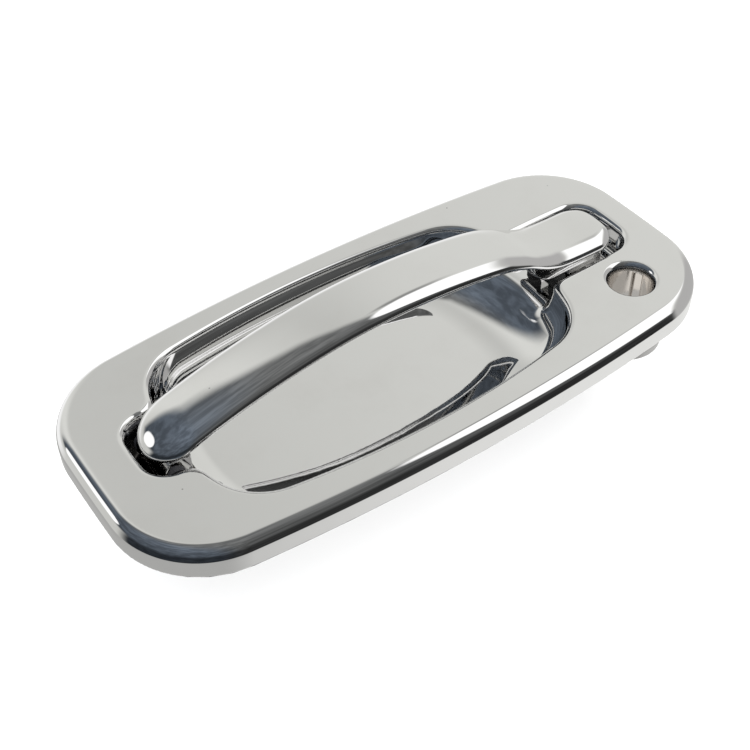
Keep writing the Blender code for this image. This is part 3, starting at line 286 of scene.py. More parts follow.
def bezel_form(x, y, z, plan=None):
    """The bezel as a solid: negative inside, about a distance in millimetres."""
    plan = plan or bezel_plan(x, y)
    cup, front, rear = bezel_hollows(plan, x, z)
    outer = rounded_max(plan["rim"], z - FACE_Z, RIM_ROUND)
    under_face = rounded_max(plan["rim"] + RIM_WALL, z - FACE_Z + FACE_THICKNESS, RIM_INNER_ROUND)
    solid = rounded_max(np.maximum(outer, -under_face), -z, RIM_FOOT_ROUND)
    for hollow in (cup, front, rear):
        solid = soft_min(solid, hollow - SHELL_WALL, FILLET)
    solid = with_back_features(solid, x, y, z)
    hollow = soft_min(soft_min(cup, front, WEB), rear, WEB)
    solid = np.maximum(np.maximum(solid, outer), rounded_max(z - FACE_Z, -hollow, LIP))

    steepness = LOCK_LIP_DEPTH / (LOCK_LIP - LOCK_BORE)
    bore = cylinder(x, y, (LOCK_X, LOCK_Y), LOCK_BORE)
    solid = np.maximum(solid, rounded_max(z - FACE_Z, -bore * steepness, LOCK_LIP_DEPTH))
    pin = cylinder(x, z, (HINGE_X, HINGE_Z), PIN_RADIUS + GAP)
    crank_pin = cylinder(x, z, (CRANK_X, CRANK_Z), PIN_RADIUS + GAP)
    cuts = (lock_slot(x, y, z), leg_slot(x, y, z), np.maximum(pin, slab(y, *HINGE_PIN_WAY)),
            np.maximum(crank_pin, slab(y, *CRANK_PIN_WAY)))
    for cut in cuts:
        solid = rounded_max(solid, -cut, CUT_EDGE)
    for place in STUDS:
        hole = np.maximum(cylinder(x, y, place, STUD_RADIUS + GAP), z - STUD_TOP - GAP)
        solid = np.maximum(solid, -hole)
    return solid


# ---------------------------------------------------------------- surface of an implicit form
SETTLE_ROUNDS, SETTLE_STEP, LEAST_STEEPNESS = 3, 0.4, 0.05


def slope_of(form, points, reach=0.02):
    """The form's slope at each point, by differences."""
    slope = np.empty_like(points)
    for axis in range(3):
        step = np.zeros(3)
        step[axis] = reach
        ahead, behind = points + step, points - step
        slope[:, axis] = (form(*ahead.T) - form(*behind.T)) / (2 * reach)
    return slope


def cell_surface(values, inside, low, step):
    """Surface nets: one point in each cell that the surface crosses, and a quad round each crossed edge."""
    cells = tuple(n - 1 for n in values.shape)
    corners = [(i, j, k) for i in (0, 1) for j in (0, 1) for k in (0, 1)]

    def shifted(array, offset):
        return array[tuple(slice(o, o + n) for o, n in zip(offset, cells))]

    count = sum(shifted(inside, c).astype(np.int8) for c in corners)
    crossed = (count > 0) & (count < 8)
    place = np.argwhere(crossed)
    number = np.full(cells, -1, np.int64)
    number[crossed] = np.arange(len(place))
    total, hits = np.zeros((len(place), 3)), np.zeros(len(place))
    for a in corners:
        for axis in range(3):
            if a[axis]:
                continue
            b = tuple(1 if i == axis else a[i] for i in range(3))
            start, end = (values[tuple((place + c).T)] for c in (a, b))
            found = (start < 0) != (end < 0)
            share = np.where(found, start / np.where(found, start - end, 1.0), 0.0)
            point = place + np.array(a, float)
            point[:, axis] += share
            total += point * found[:, None]
            hits += found
    points = low + step * total / hits[:, None]
    quads = []
    for axis in range(3):
        one, two = (axis + 1) % 3, (axis + 2) % 3
        ahead = tuple(slice(1, None) if i == axis else slice(None) for i in range(3))
        behind = tuple(slice(None, -1) if i == axis else slice(None) for i in range(3))
        change = inside[behind] != inside[ahead]
        edges = np.argwhere(change)
        fine = np.all([(edges[:, i] > 0) & (edges[:, i] < cells[i]) for i in (one, two)], axis=0)
        edges = edges[fine]
        leaving = inside[behind][tuple(edges.T)]
        ring = []
        for back_one, back_two in ((1, 1), (0, 1), (0, 0), (1, 0)):
            at = edges.copy()
            at[:, one] -= back_one
            at[:, two] -= back_two
            ring.append(number[tuple(at.T)])
        ring = np.stack(ring, axis=1)
        ring[~leaving] = ring[~leaving][:, ::-1]
        quads.append(ring)
    return points, np.concatenate(quads)


def mesh_piece(name, points, faces, normals=None):
    """A smooth-shaded object from points in millimetres and faces given as an array of quads."""
    mesh = bpy.data.meshes.new(name)
    mesh.vertices.add(len(points))
    mesh.vertices.foreach_set("co", (points * MM).astype(np.float32).ravel())
    mesh.loops.add(faces.size)
    mesh.loops.foreach_set("vertex_index", faces.astype(np.int32).ravel())
    mesh.polygons.add(len(faces))
    mesh.polygons.foreach_set("loop_start", np.arange(0, faces.size, faces.shape[1], dtype=np.int32))
    mesh.update(calc_edges=True)
    mesh.validate()
    mesh.shade_smooth()
    if normals is not None:
        mesh.normals_split_custom_set_from_vertices(normals.tolist())
    piece = bpy.data.objects.new(name, mesh)
    bpy.context.scene.collection.objects.link(piece)
    return piece


def implicit_piece(name, form, low, high, step, plan_of=None):
    """Mesh an implicit form: sample it, net it, then settle every point on the true surface."""
    axes = [np.arange(a, b, step) for a, b in zip(low, high)]
    x, y, z = axes[0][:, None, None], axes[1][None, :, None], axes[2][None, None, :]
    values = form(x, y, z, plan_of(x, y)) if plan_of else form(x, y, z)
    values = values + np.zeros((len(axes[0]), len(axes[1]), len(axes[2])))
    points, quads = cell_surface(values, values < 0, np.array([a[0] for a in axes]), step)
    for _ in range(SETTLE_ROUNDS):
        slope = slope_of(form, points)
        steep = np.maximum((slope ** 2).sum(axis=1), LEAST_STEEPNESS)
        move = -(form(*points.T) / steep)[:, None] * slope
        length = np.linalg.norm(move, axis=1)[:, None]
        points = points + move * np.minimum(1.0, SETTLE_STEP * step / np.maximum(length, 1e-9))
    slope = slope_of(form, points)
    normals = slope / np.maximum(np.linalg.norm(slope, axis=1), 1e-6)[:, None]
    return mesh_piece(name, points, quads, normals)


# ---------------------------------------------------------------- strap
ALONG_STEPS, ACROSS_STEPS, END_STEPS, ROLL_STEPS, ARCH_STEPS = 170, 61, 28, 4, 721
MERGE_DISTANCE = 2e-6                  # metres


def edge_height(x):
    """Height of the strap's lower edge: a smooth curve through its knots."""
    knots = np.array(STRAP_EDGE)
    kx, ky = knots[:, 0], knots[:, 1]
    before, after = np.r_[0, np.arange(len(kx) - 1)], np.r_[np.arange(1, len(kx)), len(kx) - 1]
    slopes = (ky[after] - ky[before]) / (kx[after] - kx[before])
    x = np.clip(x, kx[0], kx[-1])
    i = np.clip(np.searchsorted(kx, x, side="right") - 1, 0, len(kx) - 2)
    width = kx[i + 1] - kx[i]
    t = (x - kx[i]) / width
    rise = (2 * t ** 3 - 3 * t ** 2 + 1) * ky[i] + (3 * t ** 2 - 2 * t ** 3) * ky[i + 1]
    rise = rise + width * ((t ** 3 - 2 * t ** 2 + t) * slopes[i] + (t ** 3 - t ** 2) * slopes[i + 1])
    return FACE_Z + rise


def smooth_share(x, start, end):
    """Smooth step from 0 at start to 1 at end."""
    t = np.clip((x - start) / (end - start), 0.0, 1.0)
    return t * t * (3 - 2 * t)


def strap_half(x):
    """Half width in plan, round at the nose and at the rear corners."""
    nose = np.clip((STRAP_FRONT + NOSE_RUN - x) / NOSE_RUN, 0.0, 1.0)
    tail = np.clip(x - STRAP_REAR + REAR_CORNER, 0.0, REAR_CORNER)
    front = STRAP_HALF * np.sqrt(1 - nose ** NOSE_POWER)
    rear = STRAP_HALF - REAR_CORNER + np.sqrt(REAR_CORNER ** 2 - tail ** 2)
    return np.minimum(front, rear)


def strap_crown(x):
    """Height of the crown above the strap's edge."""
    crown = CROWN_FRONT + (CROWN_REAR - CROWN_FRONT) * smooth_share(x, *SECTION_BLEND)
    end = np.clip(np.minimum((x - STRAP_FRONT) / NOSE_RUN, (STRAP_REAR - x) / TAIL_RUN), 0.0, 1.0)
    return crown * np.sqrt(1 - (1 - end) ** NOSE_POWER)


def strap_roundness(x):
    """Power of the section's curve: 2 is an ellipse, and more is squarer."""
    return ROUND_FRONT + (ROUND_REAR - ROUND_FRONT) * smooth_share(x, *SECTION_BLEND)


def arch_section(half, crown, power):
    """Points on one crowned section, near edge to far edge, evenly spaced."""
    angle = np.linspace(math.pi, 0.0, ARCH_STEPS)
    cos, sin = np.cos(angle), np.maximum(np.sin(angle), 0.0)
    across = half * np.sign(cos) * np.abs(cos) ** (2 / power)
    up = crown * sin ** (2 / power)
    length = np.r_[0.0, np.cumsum(np.hypot(np.diff(across), np.diff(up)))]
    at = np.linspace(0.0, length[-1], ACROSS_STEPS)
    return np.interp(at, length, across), np.interp(at, length, up)


def strap_stations(margin):
    """Places along the strap, closing up around its two round ends."""
    front, rear = STRAP_FRONT + margin, STRAP_REAR - margin
    nose, tail = front + NOSE_RUN - margin, rear - REAR_CORNER + margin
    turn = np.linspace(0.0, QUARTER_TURN, END_STEPS)
    return np.r_[front + (nose - front) * (1 - np.cos(turn[:-1])), np.linspace(nose, tail, ALONG_STEPS),
                 tail + (rear - tail) * np.sin(turn[1:])]


def shell_layer(margin):
    """One skin of the strap's shell, margin inside the outer form: crowned top and rolled lower edge."""
    xs = strap_stations(margin)
    rows = []
    for x in xs:
        half = max(float(strap_half(x)) - margin, 0.0)
        crown = max(float(strap_crown(x)) - margin, 0.0)
        if x in (xs[0], xs[-1]):
            crown = 0.0
        across, up = arch_section(half, crown, float(strap_roundness(x)))
        edge = float(edge_height(x))
        turns = np.linspace(0.0, QUARTER_TURN, ROLL_STEPS + 1)[1:]
        tuck = np.minimum(SHELL_DROP * (1 - np.cos(turns)), half)
        drop = SHELL_DROP * np.sin(turns)
        across = np.r_[(-half + tuck)[::-1], across, half - tuck]
        up = np.r_[-drop[::-1], up, -drop]
        rows.append(np.stack([np.full(len(across), x), STRAP_Y + across, edge + up], axis=1))
    return np.array(rows)


def make_shell():
    """The strap's outer shell: outer and inner skin, joined along the lower edge."""
    outer = shell_layer(0.0)
    inner = shell_layer(STRAP_WALL)
    rows, columns = outer.shape[:2]
    grid = np.arange(rows * columns).reshape(rows, columns)
    lower = grid + rows * columns

    def quads(a):
        return np.stack([a[:-1, :-1], a[1:, :-1], a[1:, 1:], a[:-1, 1:]], axis=-1).reshape(-1, 4)

    def strip(a, b):
        return np.stack([a[:-1], a[1:], b[1:], b[:-1]], axis=-1)

    faces = [quads(grid), quads(lower)[:, ::-1], strip(lower[:, 0], grid[:, 0]),
             strip(grid[:, -1], lower[:, -1]), strip(grid[0], lower[0]), strip(lower[-1], grid[-1])]
    points = np.concatenate([outer.reshape(-1, 3), inner.reshape(-1, 3)])
    shell = mesh_piece("strap_shell", points, np.concatenate(faces))
    work = bmesh.new()
    work.from_mesh(shell.data)
    bmesh.ops.remove_doubles(work, verts=work.verts, dist=MERGE_DISTANCE)
    bmesh.ops.recalc_face_normals(work, faces=work.faces)
    for face in work.faces:
        face.smooth = True
    work.to_mesh(shell.data)
    work.free()
    return shell


def backing_bottom(x):
    """Height of the backing's underside: it follows the arch, then levels out under the pad."""
    arch = edge_height(x) - BACKING_DROP
    return arch + (PAD_UNDERSIDE - arch) * smooth_share(x, PAD_START, PAD_START + PAD_BLEND)


def knuckle_form(x, y, z):
    """The hinge's round knuckle and the neck that joins it to the backing."""
    round_end = cylinder(x, z, (HINGE_X, HINGE_Z), KNUCKLE_RADIUS)
    neck = np.maximum(slab(x, HINGE_X - KNUCKLE_RADIUS, HINGE_X + KNUCKLE_RADIUS + NECK_LENGTH),
                      slab(z, HINGE_Z, NECK_TOP))
    slope = (z - NECK_SLOPE_START) * NECK_SLOPE - (x - HINGE_X + KNUCKLE_RADIUS)
    side = soft_min(round_end, np.maximum(neck, slope), NECK_FILLET)
    return rounded_max(side, slab(y, KNUCKLE_NEAR, KNUCKLE_FAR), KNUCKLE_EDGE)


def backing_form(x, y, z):
    """The strap's backing with its hinge knuckle and the recesses for the screws."""
    inset = STRAP_WALL + GAP
    edge, low = edge_height(x), backing_bottom(x)
    inside = np.clip(x, STRAP_FRONT + inset, STRAP_REAR - inset)
    lean = BACKING_LEAN * np.clip((edge - z) / np.maximum(edge - low, 0.5), 0.0, 1.0)
    half = np.maximum(strap_half(inside) - inset, 0.05)
    crown = np.maximum(strap_crown(inside) - inset, 0.05)
    level = np.clip(np.abs(y - STRAP_Y) / half, 0.0, 1.0) ** strap_roundness(x)
    top = edge + crown * (1 - level) ** (1 / strap_roundness(x))
    side = np.abs(y - STRAP_Y) - half + lean
    ends = slab(x, STRAP_FRONT + inset, STRAP_REAR - inset)
    bar = np.maximum(np.maximum(rounded_max(side, low - z, BACKING_EDGE), z - top), ends)
    solid = soft_min(bar, knuckle_form(x, y, z), KNUCKLE_FILLET)
    cuts = [cylinder(x, z, (HINGE_X, HINGE_Z), KNUCKLE_BORE)]
    for x_screw in SCREW_XS:
        place = (x_screw, STRAP_Y)
        head = cylinder(x, y, place, SCREW_HEAD + GAP)
        head = np.maximum(head, z - backing_bottom(x_screw) - SCREW_RECESS)
        way = cylinder(x, y, place, SCREW_RADIUS + GAP)
        well_ceiling = edge_height(x_screw) - BOSS_WELL_BELOW_EDGE
        well = np.maximum(cylinder(x, y, place, BOSS_WELL_RADIUS), well_ceiling - z)
        cuts += [head, way, well]
    leg_way = cylinder(x, y, (LEG_SCREW_X, STRAP_Y), SCREW_RADIUS + GAP)
    cuts.append(np.maximum(leg_way, z - PAD_UNDERSIDE - LEG_SCREW_DEPTH))
    for cut in cuts:
        solid = rounded_max(solid, -cut, SCREW_EDGE)
    return solid


# ---------------------------------------------------------------- studs
def stud_form(place, low, high):
    """A stud with a tapered tip and a thread cut up to just under its boss."""
    def form(x, y, z):
        across, along = x - place[0], y - place[1]
        reach = np.hypot(across, along)
        turn = np.arctan2(along, across) / (2 * math.pi)
        groove = np.abs((z / THREAD_PITCH - turn) % 1.0 * 2.0 - 1.0) * THREAD_DEPTH
        groove = groove * np.clip(THREAD_TOP - z, 0.0, 1.0)
        up_the_tip = (z - low) / STUD_TAPER_LENGTH
        cone = (reach - STUD_RADIUS + STUD_TAPER * (1.0 - up_the_tip)) * STUD_TAPER_SCALE
        side = np.maximum(reach - STUD_RADIUS + groove, cone)
        return rounded_max(side, slab(z, low, high), STUD_EDGE)
    return form


# ---------------------------------------------------------------- materials
class Nodes:
    """A short way to write a node tree."""

    def __init__(self, tree):
        self.tree = tree
        tree.nodes.clear()

    def add(self, kind, settings=None, **inputs):
        """A node whose inputs are given by name, or by number as i0, i1 and so on."""
        node = self.tree.nodes.new(kind)
        for key, value in (settings or {}).items():
            setattr(node, key, value)
        for key, value in inputs.items():
            numbered = key[0] == "i" and key[1:].isdigit()
            socket = node.inputs[int(key[1:]) if numbered else key.replace("_", " ")]
            self.feed(socket, value)
        return node

    def feed(self, socket, value):
        """Link a socket to another, or set its number or colour."""
        if isinstance(value, bpy.types.NodeSocket):
            self.tree.links.new(value, socket)
        else:
            socket.default_value = value

    def math(self, operation, a, b):
        return self.add("ShaderNodeMath", {"operation": operation}, i0=a, i1=b).outputs[0]

    def span(self, value, start, end, low=0.0, high=1.0):
        """Smooth step of value from start to end, mapped to low and high."""
        node = self.add("ShaderNodeMapRange", {"interpolation_type": "SMOOTHSTEP"}, Value=value)
        for key, number in (("From Min", start), ("From Max", end), ("To Min", low), ("To Max", high)):
            node.inputs[key].default_value = number
        return node.outputs[0]

    def mix(self, share, a, b):
        node = self.add("ShaderNodeMix", {"data_type": "RGBA"})
        for number, value in ((0, share), (6, a), (7, b)):
            self.feed(node.inputs[number], value)
        return node.outputs[2]

    def scale(self, colour, value):
        """A colour times a brightness, either of which may vary."""
        return self.add("ShaderNodeVectorMath", {"operation": "SCALE"}, Vector=colour, Scale=value).outputs[0]

    def place(self):
        """Coordinates in metres, fixed to the piece."""
        return self.add("ShaderNodeTexCoord").outputs["Object"]

    def noise(self, scale, detail=2.0, roughness=0.5, stretch=None):
        vector = self.place()
        if stretch:
            vector = self.add("ShaderNodeMapping", Vector=vector, Scale=stretch).outputs[0]
        return self.add("ShaderNodeTexNoise", Vector=vector, Scale=scale, Detail=detail,
                        Roughness=roughness).outputs[0]

    def bump(self, height, distance):
        return self.add("ShaderNodeBump", Height=height, Distance=distance, Strength=1.0).outputs[0]

    def finish(self, **inputs):
        shader = self.add("ShaderNodeBsdfPrincipled", **inputs)
        output = self.add("ShaderNodeOutputMaterial")
        self.tree.links.new(shader.outputs[0], output.inputs[0])


def new_material(name):
    """A material and its node tree, ready to fill."""
    made = bpy.data.materials.new(name)
    made.use_nodes = True
    return made, Nodes(made.node_tree)


def shade(value, warmth=0.0):
    """A grey, warmer or cooler by a small share."""
    return (value * (1 + warmth), value, value * (1 - warmth), 1.0)


def chrome_material(name, value, roughness, wave, warmth=0.003):
    """Bright plating: slow waves in the casting, faint wiping marks, and a few pin-prick specks."""
    made, n = new_material(name)
    haze_scale, wipe_scale, cell_scale, wave_scale, ripple_scale = 38.0, 260.0, 170.0, 55.0, 240.0
    hazed, wiped, ripple_share, speck_share = 0.035, 0.030, 0.12, 0.55
    haze = n.span(n.noise(haze_scale, 4.0, 0.6), 0.45, 0.75)
    wipe = n.span(n.noise(wipe_scale, 3.0, 0.55, (1.0, 0.12, 1.0)), 0.52, 0.80)
    rough = n.math("ADD", n.math("MULTIPLY", haze, hazed), n.math("MULTIPLY", wipe, wiped))
    rough = n.math("ADD", rough, roughness)
    cells = n.add("ShaderNodeTexVoronoi", Vector=n.place(), Scale=cell_scale)
    chosen = n.span(n.add("ShaderNodeSeparateColor", Color=cells.outputs["Color"]).outputs[0], 0.93, 0.95)
    speck = n.math("MULTIPLY", n.span(cells.outputs["Distance"], 0.07, 0.045), chosen)
    colour = n.mix(haze, shade(value, warmth), shade(value * 0.97, warmth + 0.003))
    colour = n.mix(n.math("MULTIPLY", speck, speck_share), colour, shade(0.16))
    ripple = n.math("MULTIPLY", n.noise(ripple_scale, 2.0, 0.5), ripple_share)
    casting = n.math("ADD", n.noise(wave_scale, 1.0, 0.4), ripple)
    n.finish(Base_Color=colour, Metallic=1.0, Roughness=rough, Normal=n.bump(casting, wave))
    return made


def metal_material(name, value, warmth, roughness, grain):
    """Plated or drawn steel: uneven lustre, fine grain and dull patches."""
    made, n = new_material(name)
    patch_scale, grain_scale, grain_share = 120.0, 1500.0, 0.35
    patches = n.noise(patch_scale, 4.0, 0.6)
    grains = n.noise(grain_scale, 3.0, 0.6)
    rough = n.span(patches, 0.3, 0.7, roughness * 0.8, roughness * 1.25)
    colour = n.mix(n.span(patches, 0.35, 0.7), shade(value, warmth), shade(value * 0.82, warmth * 1.6))
    dark_grain = n.math("MULTIPLY", n.span(grains, 0.55, 0.75), grain_share)
    colour = n.mix(dark_grain, colour, shade(value * 0.62, warmth))
    n.finish(Base_Color=colour, Metallic=1.0, Roughness=rough, Normal=n.bump(grains, grain))
    return made


def moulded_material(name, colour, roughness, scale, depth):
    """Plastic, rubber or foam: a fine grain, with lighter scuffed patches."""
    made, n = new_material(name)
    patch_scale = 90.0
    grains = n.noise(scale, 4.0, 0.65)
    patches = n.span(n.noise(patch_scale, 3.0), 0.45, 0.75)
    light = tuple(min(c * 1.35 + 0.01, 1.0) for c in colour)
    tint = n.mix(patches, (*colour, 1.0), (*light, 1.0))
    rough = n.span(grains, 0.3, 0.7, roughness * 0.85, min(roughness * 1.15, 1.0))
    n.finish(Base_Color=tint, Roughness=rough, Normal=n.bump(grains, depth))
    return made


CHROME = chrome_material("bright_chrome", 0.82, 0.018, 0.00003)
BACKING_CHROME = chrome_material("backing_chrome", 0.74, 0.055, 0.00004)
NICKEL = chrome_material("nickel_bore", 0.83, 0.11, 0.00003, 0.035)
# Nearly black plating in the front pocket: painted shade, standing in for the dark of the open pocket.
PAINTED_POCKET_SHADE = chrome_material("painted_pocket_shade", 0.10, 0.22, 0.00006, 0.05)
# Rougher plating for the bezel's hidden back; its darker colour is painted shade under the rim.
DULL_BACK_PAINTED_SHADE = chrome_material("dull_back_painted_shade", 0.50, 0.26, 0.00006, 0.01)
ZINC = metal_material("zinc_plate", 0.60, 0.012, 0.30, 0.00003)
STEEL = metal_material("spring_steel", 0.27, -0.01, 0.34, 0.00002)
FOAM = moulded_material("cell_foam", (0.035, 0.035, 0.04), 0.92, 1400.0, 0.00025)
RUBBER = moulded_material("moulded_rubber", (0.02, 0.02, 0.02), 0.70, 900.0, 0.00005)
BLACK = moulded_material("black_nylon", (0.025, 0.025, 0.028), 0.42, 700.0, 0.00003)
WHITE = moulded_material("natural_acetal", (0.74, 0.71, 0.63), 0.42, 700.0, 0.00002)

NODE_MATERIALS = {
    "door_gasket": FOAM, "handle_screw_front": ZINC, "handle_screw_rear": ZINC, "hinge_pin": ZINC,
    "hinge_clip": STEEL, "hinge_bushing_near": BLACK, "hinge_bushing_far": BLACK, "pull_leg": ZINC,
    "leg_screw": ZINC, "rubber_bumper_near": RUBBER, "rubber_bumper_far": RUBBER, "bell_crank": ZINC,
    "crank_bushing": WHITE, "crank_pin": ZINC, "crank_clip": STEEL, "return_spring": STEEL, "rod_clip": BLACK,
    "stud_front": ZINC, "stud_rear": ZINC, "washer_front": ZINC, "washer_rear": ZINC, "nut_front": ZINC,
    "nut_rear": ZINC, "bezel": CHROME, "handle_shell": CHROME, "handle_backing": BACKING_CHROME,
}


def dress(piece, material):
    """Give a piece one material all over."""
    piece.data.materials.clear()
    piece.data.materials.append(material)


def dress_part(piece, material, chosen):
    """Give a second material to the faces whose centres (millimetres) are chosen."""
    piece.data.materials.append(material)
    centres = np.empty(len(piece.data.polygons) * 3)
    piece.data.polygons.foreach_get("center", centres)
    x, y, z = centres.reshape(-1, 3).T / MM
    slots = np.empty(len(x), dtype=np.int32)
    piece.data.polygons.foreach_get("material_index", slots)
    slots[chosen(x, y, z)] = len(piece.data.materials) - 1
    piece.data.polygons.foreach_set("material_index", slots)


def in_lock_bore(x, y, z):
    """The lock's bore with its slot, below the rolled lip."""
    return (cylinder(x, y, (LOCK_X, LOCK_Y), LOCK_SLOT_REACH + CUT_EDGE) < 0) & (z < FACE_Z - LOCK_LIP_DEPTH)


def in_front_pocket(x, y, z):
    """The walls and floor of the front pocket, as far as the cup's own wall, which get painted shade."""
    skin, into_cup = 0.5, 6.0
    inside = (pocket_outline(x, y, FRONT_POCKET) < skin) & (cup_outline(x, y, 0.0) > -into_cup)
    return inside & (slab(z, FRONT_POCKET[4] - SHELL_WALL / 2, FACE_Z - 2 * LIP) < 0)


def behind_face(x, y, z):
    """The bezel's hidden back: the skin under the face and inside the rim, and all that hangs below it, where
    a darker plating paints shade.
    """
    plan = bezel_plan(x, y)
    cup, front, rear = bezel_hollows(plan, x, z)
    outside = np.minimum(np.minimum(cup, front), rear) > SHELL_WALL / 2
    under = rounded_max(plan["rim"], z - FACE_Z, RIM_ROUND) < -FACE_THICKNESS / 2
    return outside & (under | (z < -GAP))


for node_name, node_material in NODE_MATERIALS.items():
    dress(frame["nodes"][node_name], node_material)


# ---------------------------------------------------------------- pieces
BEZEL_STEP, BACKING_STEP, STUD_STEP = ((0.7, 0.5, 0.2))
# Blocks of space to mesh, a little larger than the pieces
BEZEL_BLOCK = ((-120.03, -55.57, -26.13), (121.0, 56.5, 13.4))
BACKING_BLOCK = ((-97.03, -13.07, -5.13), (98.0, 18.0, 35.0))
STUD_MARGINS = (0.33, 0.41)

bezel = implicit_piece("bezel_casting", bezel_form, *BEZEL_BLOCK, BEZEL_STEP, bezel_plan)
dress(bezel, CHROME)
# The hidden back and everything below the rim get the darker plating, which paints the shade there.
dress_part(bezel, DULL_BACK_PAINTED_SHADE, behind_face)
# The front pocket's walls and floor get painted shade: nearly black plating.
dress_part(bezel, PAINTED_POCKET_SHADE, in_front_pocket)
dress_part(bezel, NICKEL, in_lock_bore)
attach(bezel, "housing")
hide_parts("bezel")

shell = make_shell()
dress(shell, CHROME)
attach(shell, "handle")
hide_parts("handle_shell")

backing = implicit_piece("strap_backing", backing_form, *BACKING_BLOCK, BACKING_STEP)
dress(backing, BACKING_CHROME)
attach(backing, "handle")
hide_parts("handle_backing")

for stud_node, stud_place in zip(("stud_front", "stud_rear"), STUDS):
    stud_low, stud_high = node_box(stud_node)
    stud = implicit_piece(stud_node + "_thread", stud_form(stud_place, stud_low[2], stud_high[2]),
                          stud_low - STUD_MARGINS[0], stud_high + STUD_MARGINS[1], STUD_STEP)
    dress(stud, ZINC)
    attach(stud, "housing")
    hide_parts(stud_node)


# ---------------------------------------------------------------- studio
# Unit vectors from the handle towards parts of the room, and the brightness of each part.
WALL_SIDE = (0.798, 0.554, -0.236)
SOFTBOX = (0.764, -0.195, 0.616)
WINDOW = (-0.68, 0.63, 0.37)
HORIZON_TONE, NEAR_SIDE_TONE, SOFTBOX_TONE, WINDOW_TONE = 1.05, 0.50, 1.30, 1.25
FRAME_TONE, FRAME_SHARE = 0.16, 0.75

STAGE_HALF, STAGE_GAP = 4.0, 0.0004    # metres
PAPER_RADIUS, PAPER_RISE, PAPER_SIDES = 3.9, 4.0, 96
LAMP_ENERGY, LAMP_WIDTH, LAMP_TILT = 4.2, 120.0, (8.0, 6.0)

CAMERA_LENS, CAMERA_SENSOR, CAMERA_CLIP = 59.07, 36.0, (0.01, 50.0)
CAMERA_PLACE = (-0.182585, -0.256165, 0.308183)
CAMERA_TURN = (44.699, 0.726, -35.039)  # degrees


def pale_paper():
    made, n = new_material("pale_paper")
    n.finish(Base_Color=n.mix(n.noise(3.0, 2.0), shade(0.90), shade(0.93)), Roughness=0.9)
    return made


def paper_sheet(name, points, faces):
    """A sheet of pale paper for the stage. The plating doesn't mirror it."""
    mesh = bpy.data.meshes.new(name)
    mesh.from_pydata(points, [], faces)
    sheet = bpy.data.objects.new(name, mesh)
    bpy.context.scene.collection.objects.link(sheet)
    sheet.visible_glossy = False
    dress(sheet, pale_paper())
    return sheet


def pale_floor(height):
    corners = [(x * STAGE_HALF, y * STAGE_HALF, height) for x, y in ((-1, -1), (1, -1), (1, 1), (-1, 1))]
    plane = paper_sheet("studio_floor", corners, [(0, 1, 2, 3)])


def paper_wall(height):
    """A wall round the stage for low views. It neither lights nor shades anything."""
    turns = [2 * math.pi * i / PAPER_SIDES for i in range(PAPER_SIDES)]
    ring = [(PAPER_RADIUS * math.cos(turn), PAPER_RADIUS * math.sin(turn), level)
            for level in (height, height + PAPER_RISE) for turn in turns]
    ahead = [(i + 1) % PAPER_SIDES for i in range(PAPER_SIDES)]
    faces = [(i, j, j + PAPER_SIDES, i + PAPER_SIDES) for i, j in enumerate(ahead)]
    wall = paper_sheet("studio_wall", ring, faces)
    wall.visible_diffuse = wall.visible_shadow = False


def facing(n, way, axis):
    """Cosine of the angle between a direction and an axis."""
    return n.add("ShaderNodeVectorMath", {"operation": "DOT_PRODUCT"}, i0=way, i1=axis).outputs["Value"]


def wall_tone(n, x):
    """Pale wall: its light falls off to the right, comes back far right, and dips far left."""
    light = n.math("ADD", n.span(x, 0.20, -0.15, 0.62, 0.80), n.span(x, 0.18, 0.65, 0.0, 0.14))
    light = n.math("SUBTRACT", light, n.span(x, -0.20, -0.50, 0.0, 0.14))
    return n.scale((1.0, 1.005, 0.965), light)


def ceiling_tone(n, way, x, z):
    """Dim ceiling with blurred clutter: a little lighter towards the top, and bluish to the left."""
    light = n.math("ADD", n.span(z, 0.10, 0.50, 0.0, 0.075), n.span(z, 0.60, 1.00, 0.028, 0.095))
    colour = n.mix(n.span(x, 0.0, -0.40), (0.98, 1.0, 1.0, 1.0), (0.84, 1.0, 1.22, 1.0))
    clutter = n.add("ShaderNodeTexNoise", Vector=way, Scale=7.0, Detail=3.0, Roughness=0.6).outputs[0]
    return n.scale(colour, n.math("MULTIPLY", light, n.span(clutter, 0.35, 0.68, 0.80, 1.35)))


def wall_share(n, way, y, z):
    """Where the pale wall stands: on its own side but for the near end, and low down along the far side."""
    side = n.math("MULTIPLY", n.span(facing(n, way, WALL_SIDE), -0.07, 0.10), n.span(y, -0.60, -0.40))
    low = n.math("MULTIPLY", n.span(z, 0.36, 0.18), n.span(y, 0.25, 0.50))
    return n.math("MAXIMUM", side, low)


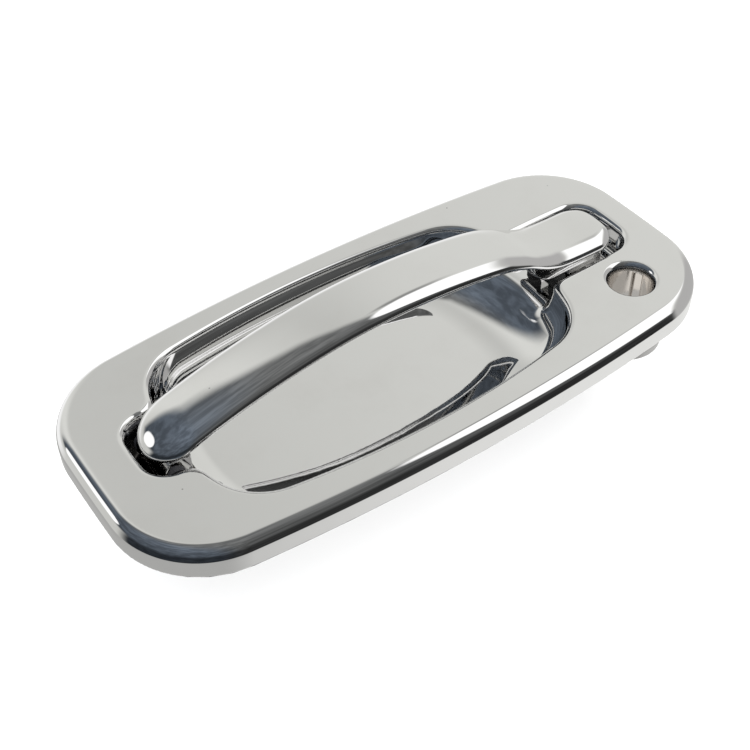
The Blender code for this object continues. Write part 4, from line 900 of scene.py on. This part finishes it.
def studio_world():
    """A room round the piece: pale wall on the far side, dim ceiling and near side, pale ground.

    A round softbox hangs overhead to the right, with a dark frame on its far side, and a small window lies to
    the left. Each part is laid over the ones before it.
    """
    world = bpy.data.worlds.new("studio")
    bpy.context.scene.world = world
    world.use_nodes = True
    n = Nodes(world.node_tree)
    way = n.add("ShaderNodeTexCoord").outputs["Generated"]
    x, y, z = n.add("ShaderNodeSeparateXYZ", Vector=way).outputs
    tone = n.mix(wall_share(n, way, y, z), ceiling_tone(n, way, x, z), wall_tone(n, x))

    horizon = n.math("MULTIPLY", n.span(z, 0.20, -0.10), n.span(y, 0.62, 0.88))
    tone = n.mix(horizon, tone, shade(HORIZON_TONE))

    to_softbox = facing(n, way, SOFTBOX)
    frame = n.math("MULTIPLY", n.span(to_softbox, 0.815, 0.850), n.span(y, 0.0, 0.15))
    frame = n.math("MULTIPLY", frame, n.span(x, 0.66, 0.52))
    tone = n.mix(n.math("MULTIPLY", frame, FRAME_SHARE), tone, shade(FRAME_TONE))

    near_side = n.math("MULTIPLY", n.span(x, 0.70, 0.82), n.span(y, 0.42, 0.25))
    tone = n.mix(near_side, tone, shade(NEAR_SIDE_TONE, 0.01))

    softbox = n.math("MULTIPLY", n.span(to_softbox, 0.862, 0.885), n.span(x, 0.77, 0.69))
    tone = n.mix(softbox, tone, shade(SOFTBOX_TONE))
    tone = n.mix(n.span(facing(n, way, WINDOW), 0.982, 0.988), tone, shade(WINDOW_TONE))

    ground = n.scale((1.0, 1.0, 0.98), n.span(x, -0.25, 0.60, 0.46, 0.88))
    tone = n.mix(n.span(z, -0.44, -0.50), tone, ground)
    background = n.add("ShaderNodeBackground", Color=tone, Strength=1.0)
    output = n.add("ShaderNodeOutputWorld")
    n.tree.links.new(background.outputs[0], output.inputs[0])


def overhead_lamp():
    """Soft light that whitens the floor; the plating doesn't mirror it."""
    lamp = bpy.data.lights.new("overhead", "SUN")
    lamp.energy = LAMP_ENERGY
    lamp.angle = math.radians(LAMP_WIDTH)
    lamp.use_shadow = False
    item = bpy.data.objects.new("overhead", lamp)
    item.rotation_euler = (math.radians(LAMP_TILT[0]), math.radians(LAMP_TILT[1]), 0.0)
    item.visible_glossy = False
    bpy.context.scene.collection.objects.link(item)


def make_camera():
    camera = bpy.data.cameras.new("camera")
    camera.lens = CAMERA_LENS
    camera.sensor_width = CAMERA_SENSOR
    camera.clip_start, camera.clip_end = CAMERA_CLIP
    item = bpy.data.objects.new("camera", camera)
    item.location = CAMERA_PLACE
    item.rotation_euler = [math.radians(turn) for turn in CAMERA_TURN]
    bpy.context.scene.collection.objects.link(item)
    bpy.context.scene.camera = item


FLOOR_LEVEL = CAD_BOX[0][2] - STAGE_GAP
pale_floor(FLOOR_LEVEL)
paper_wall(FLOOR_LEVEL)
studio_world()
overhead_lamp()
make_camera()
bpy.context.scene.view_settings.view_transform = "Standard"
bpy.context.scene.view_settings.look = "None"
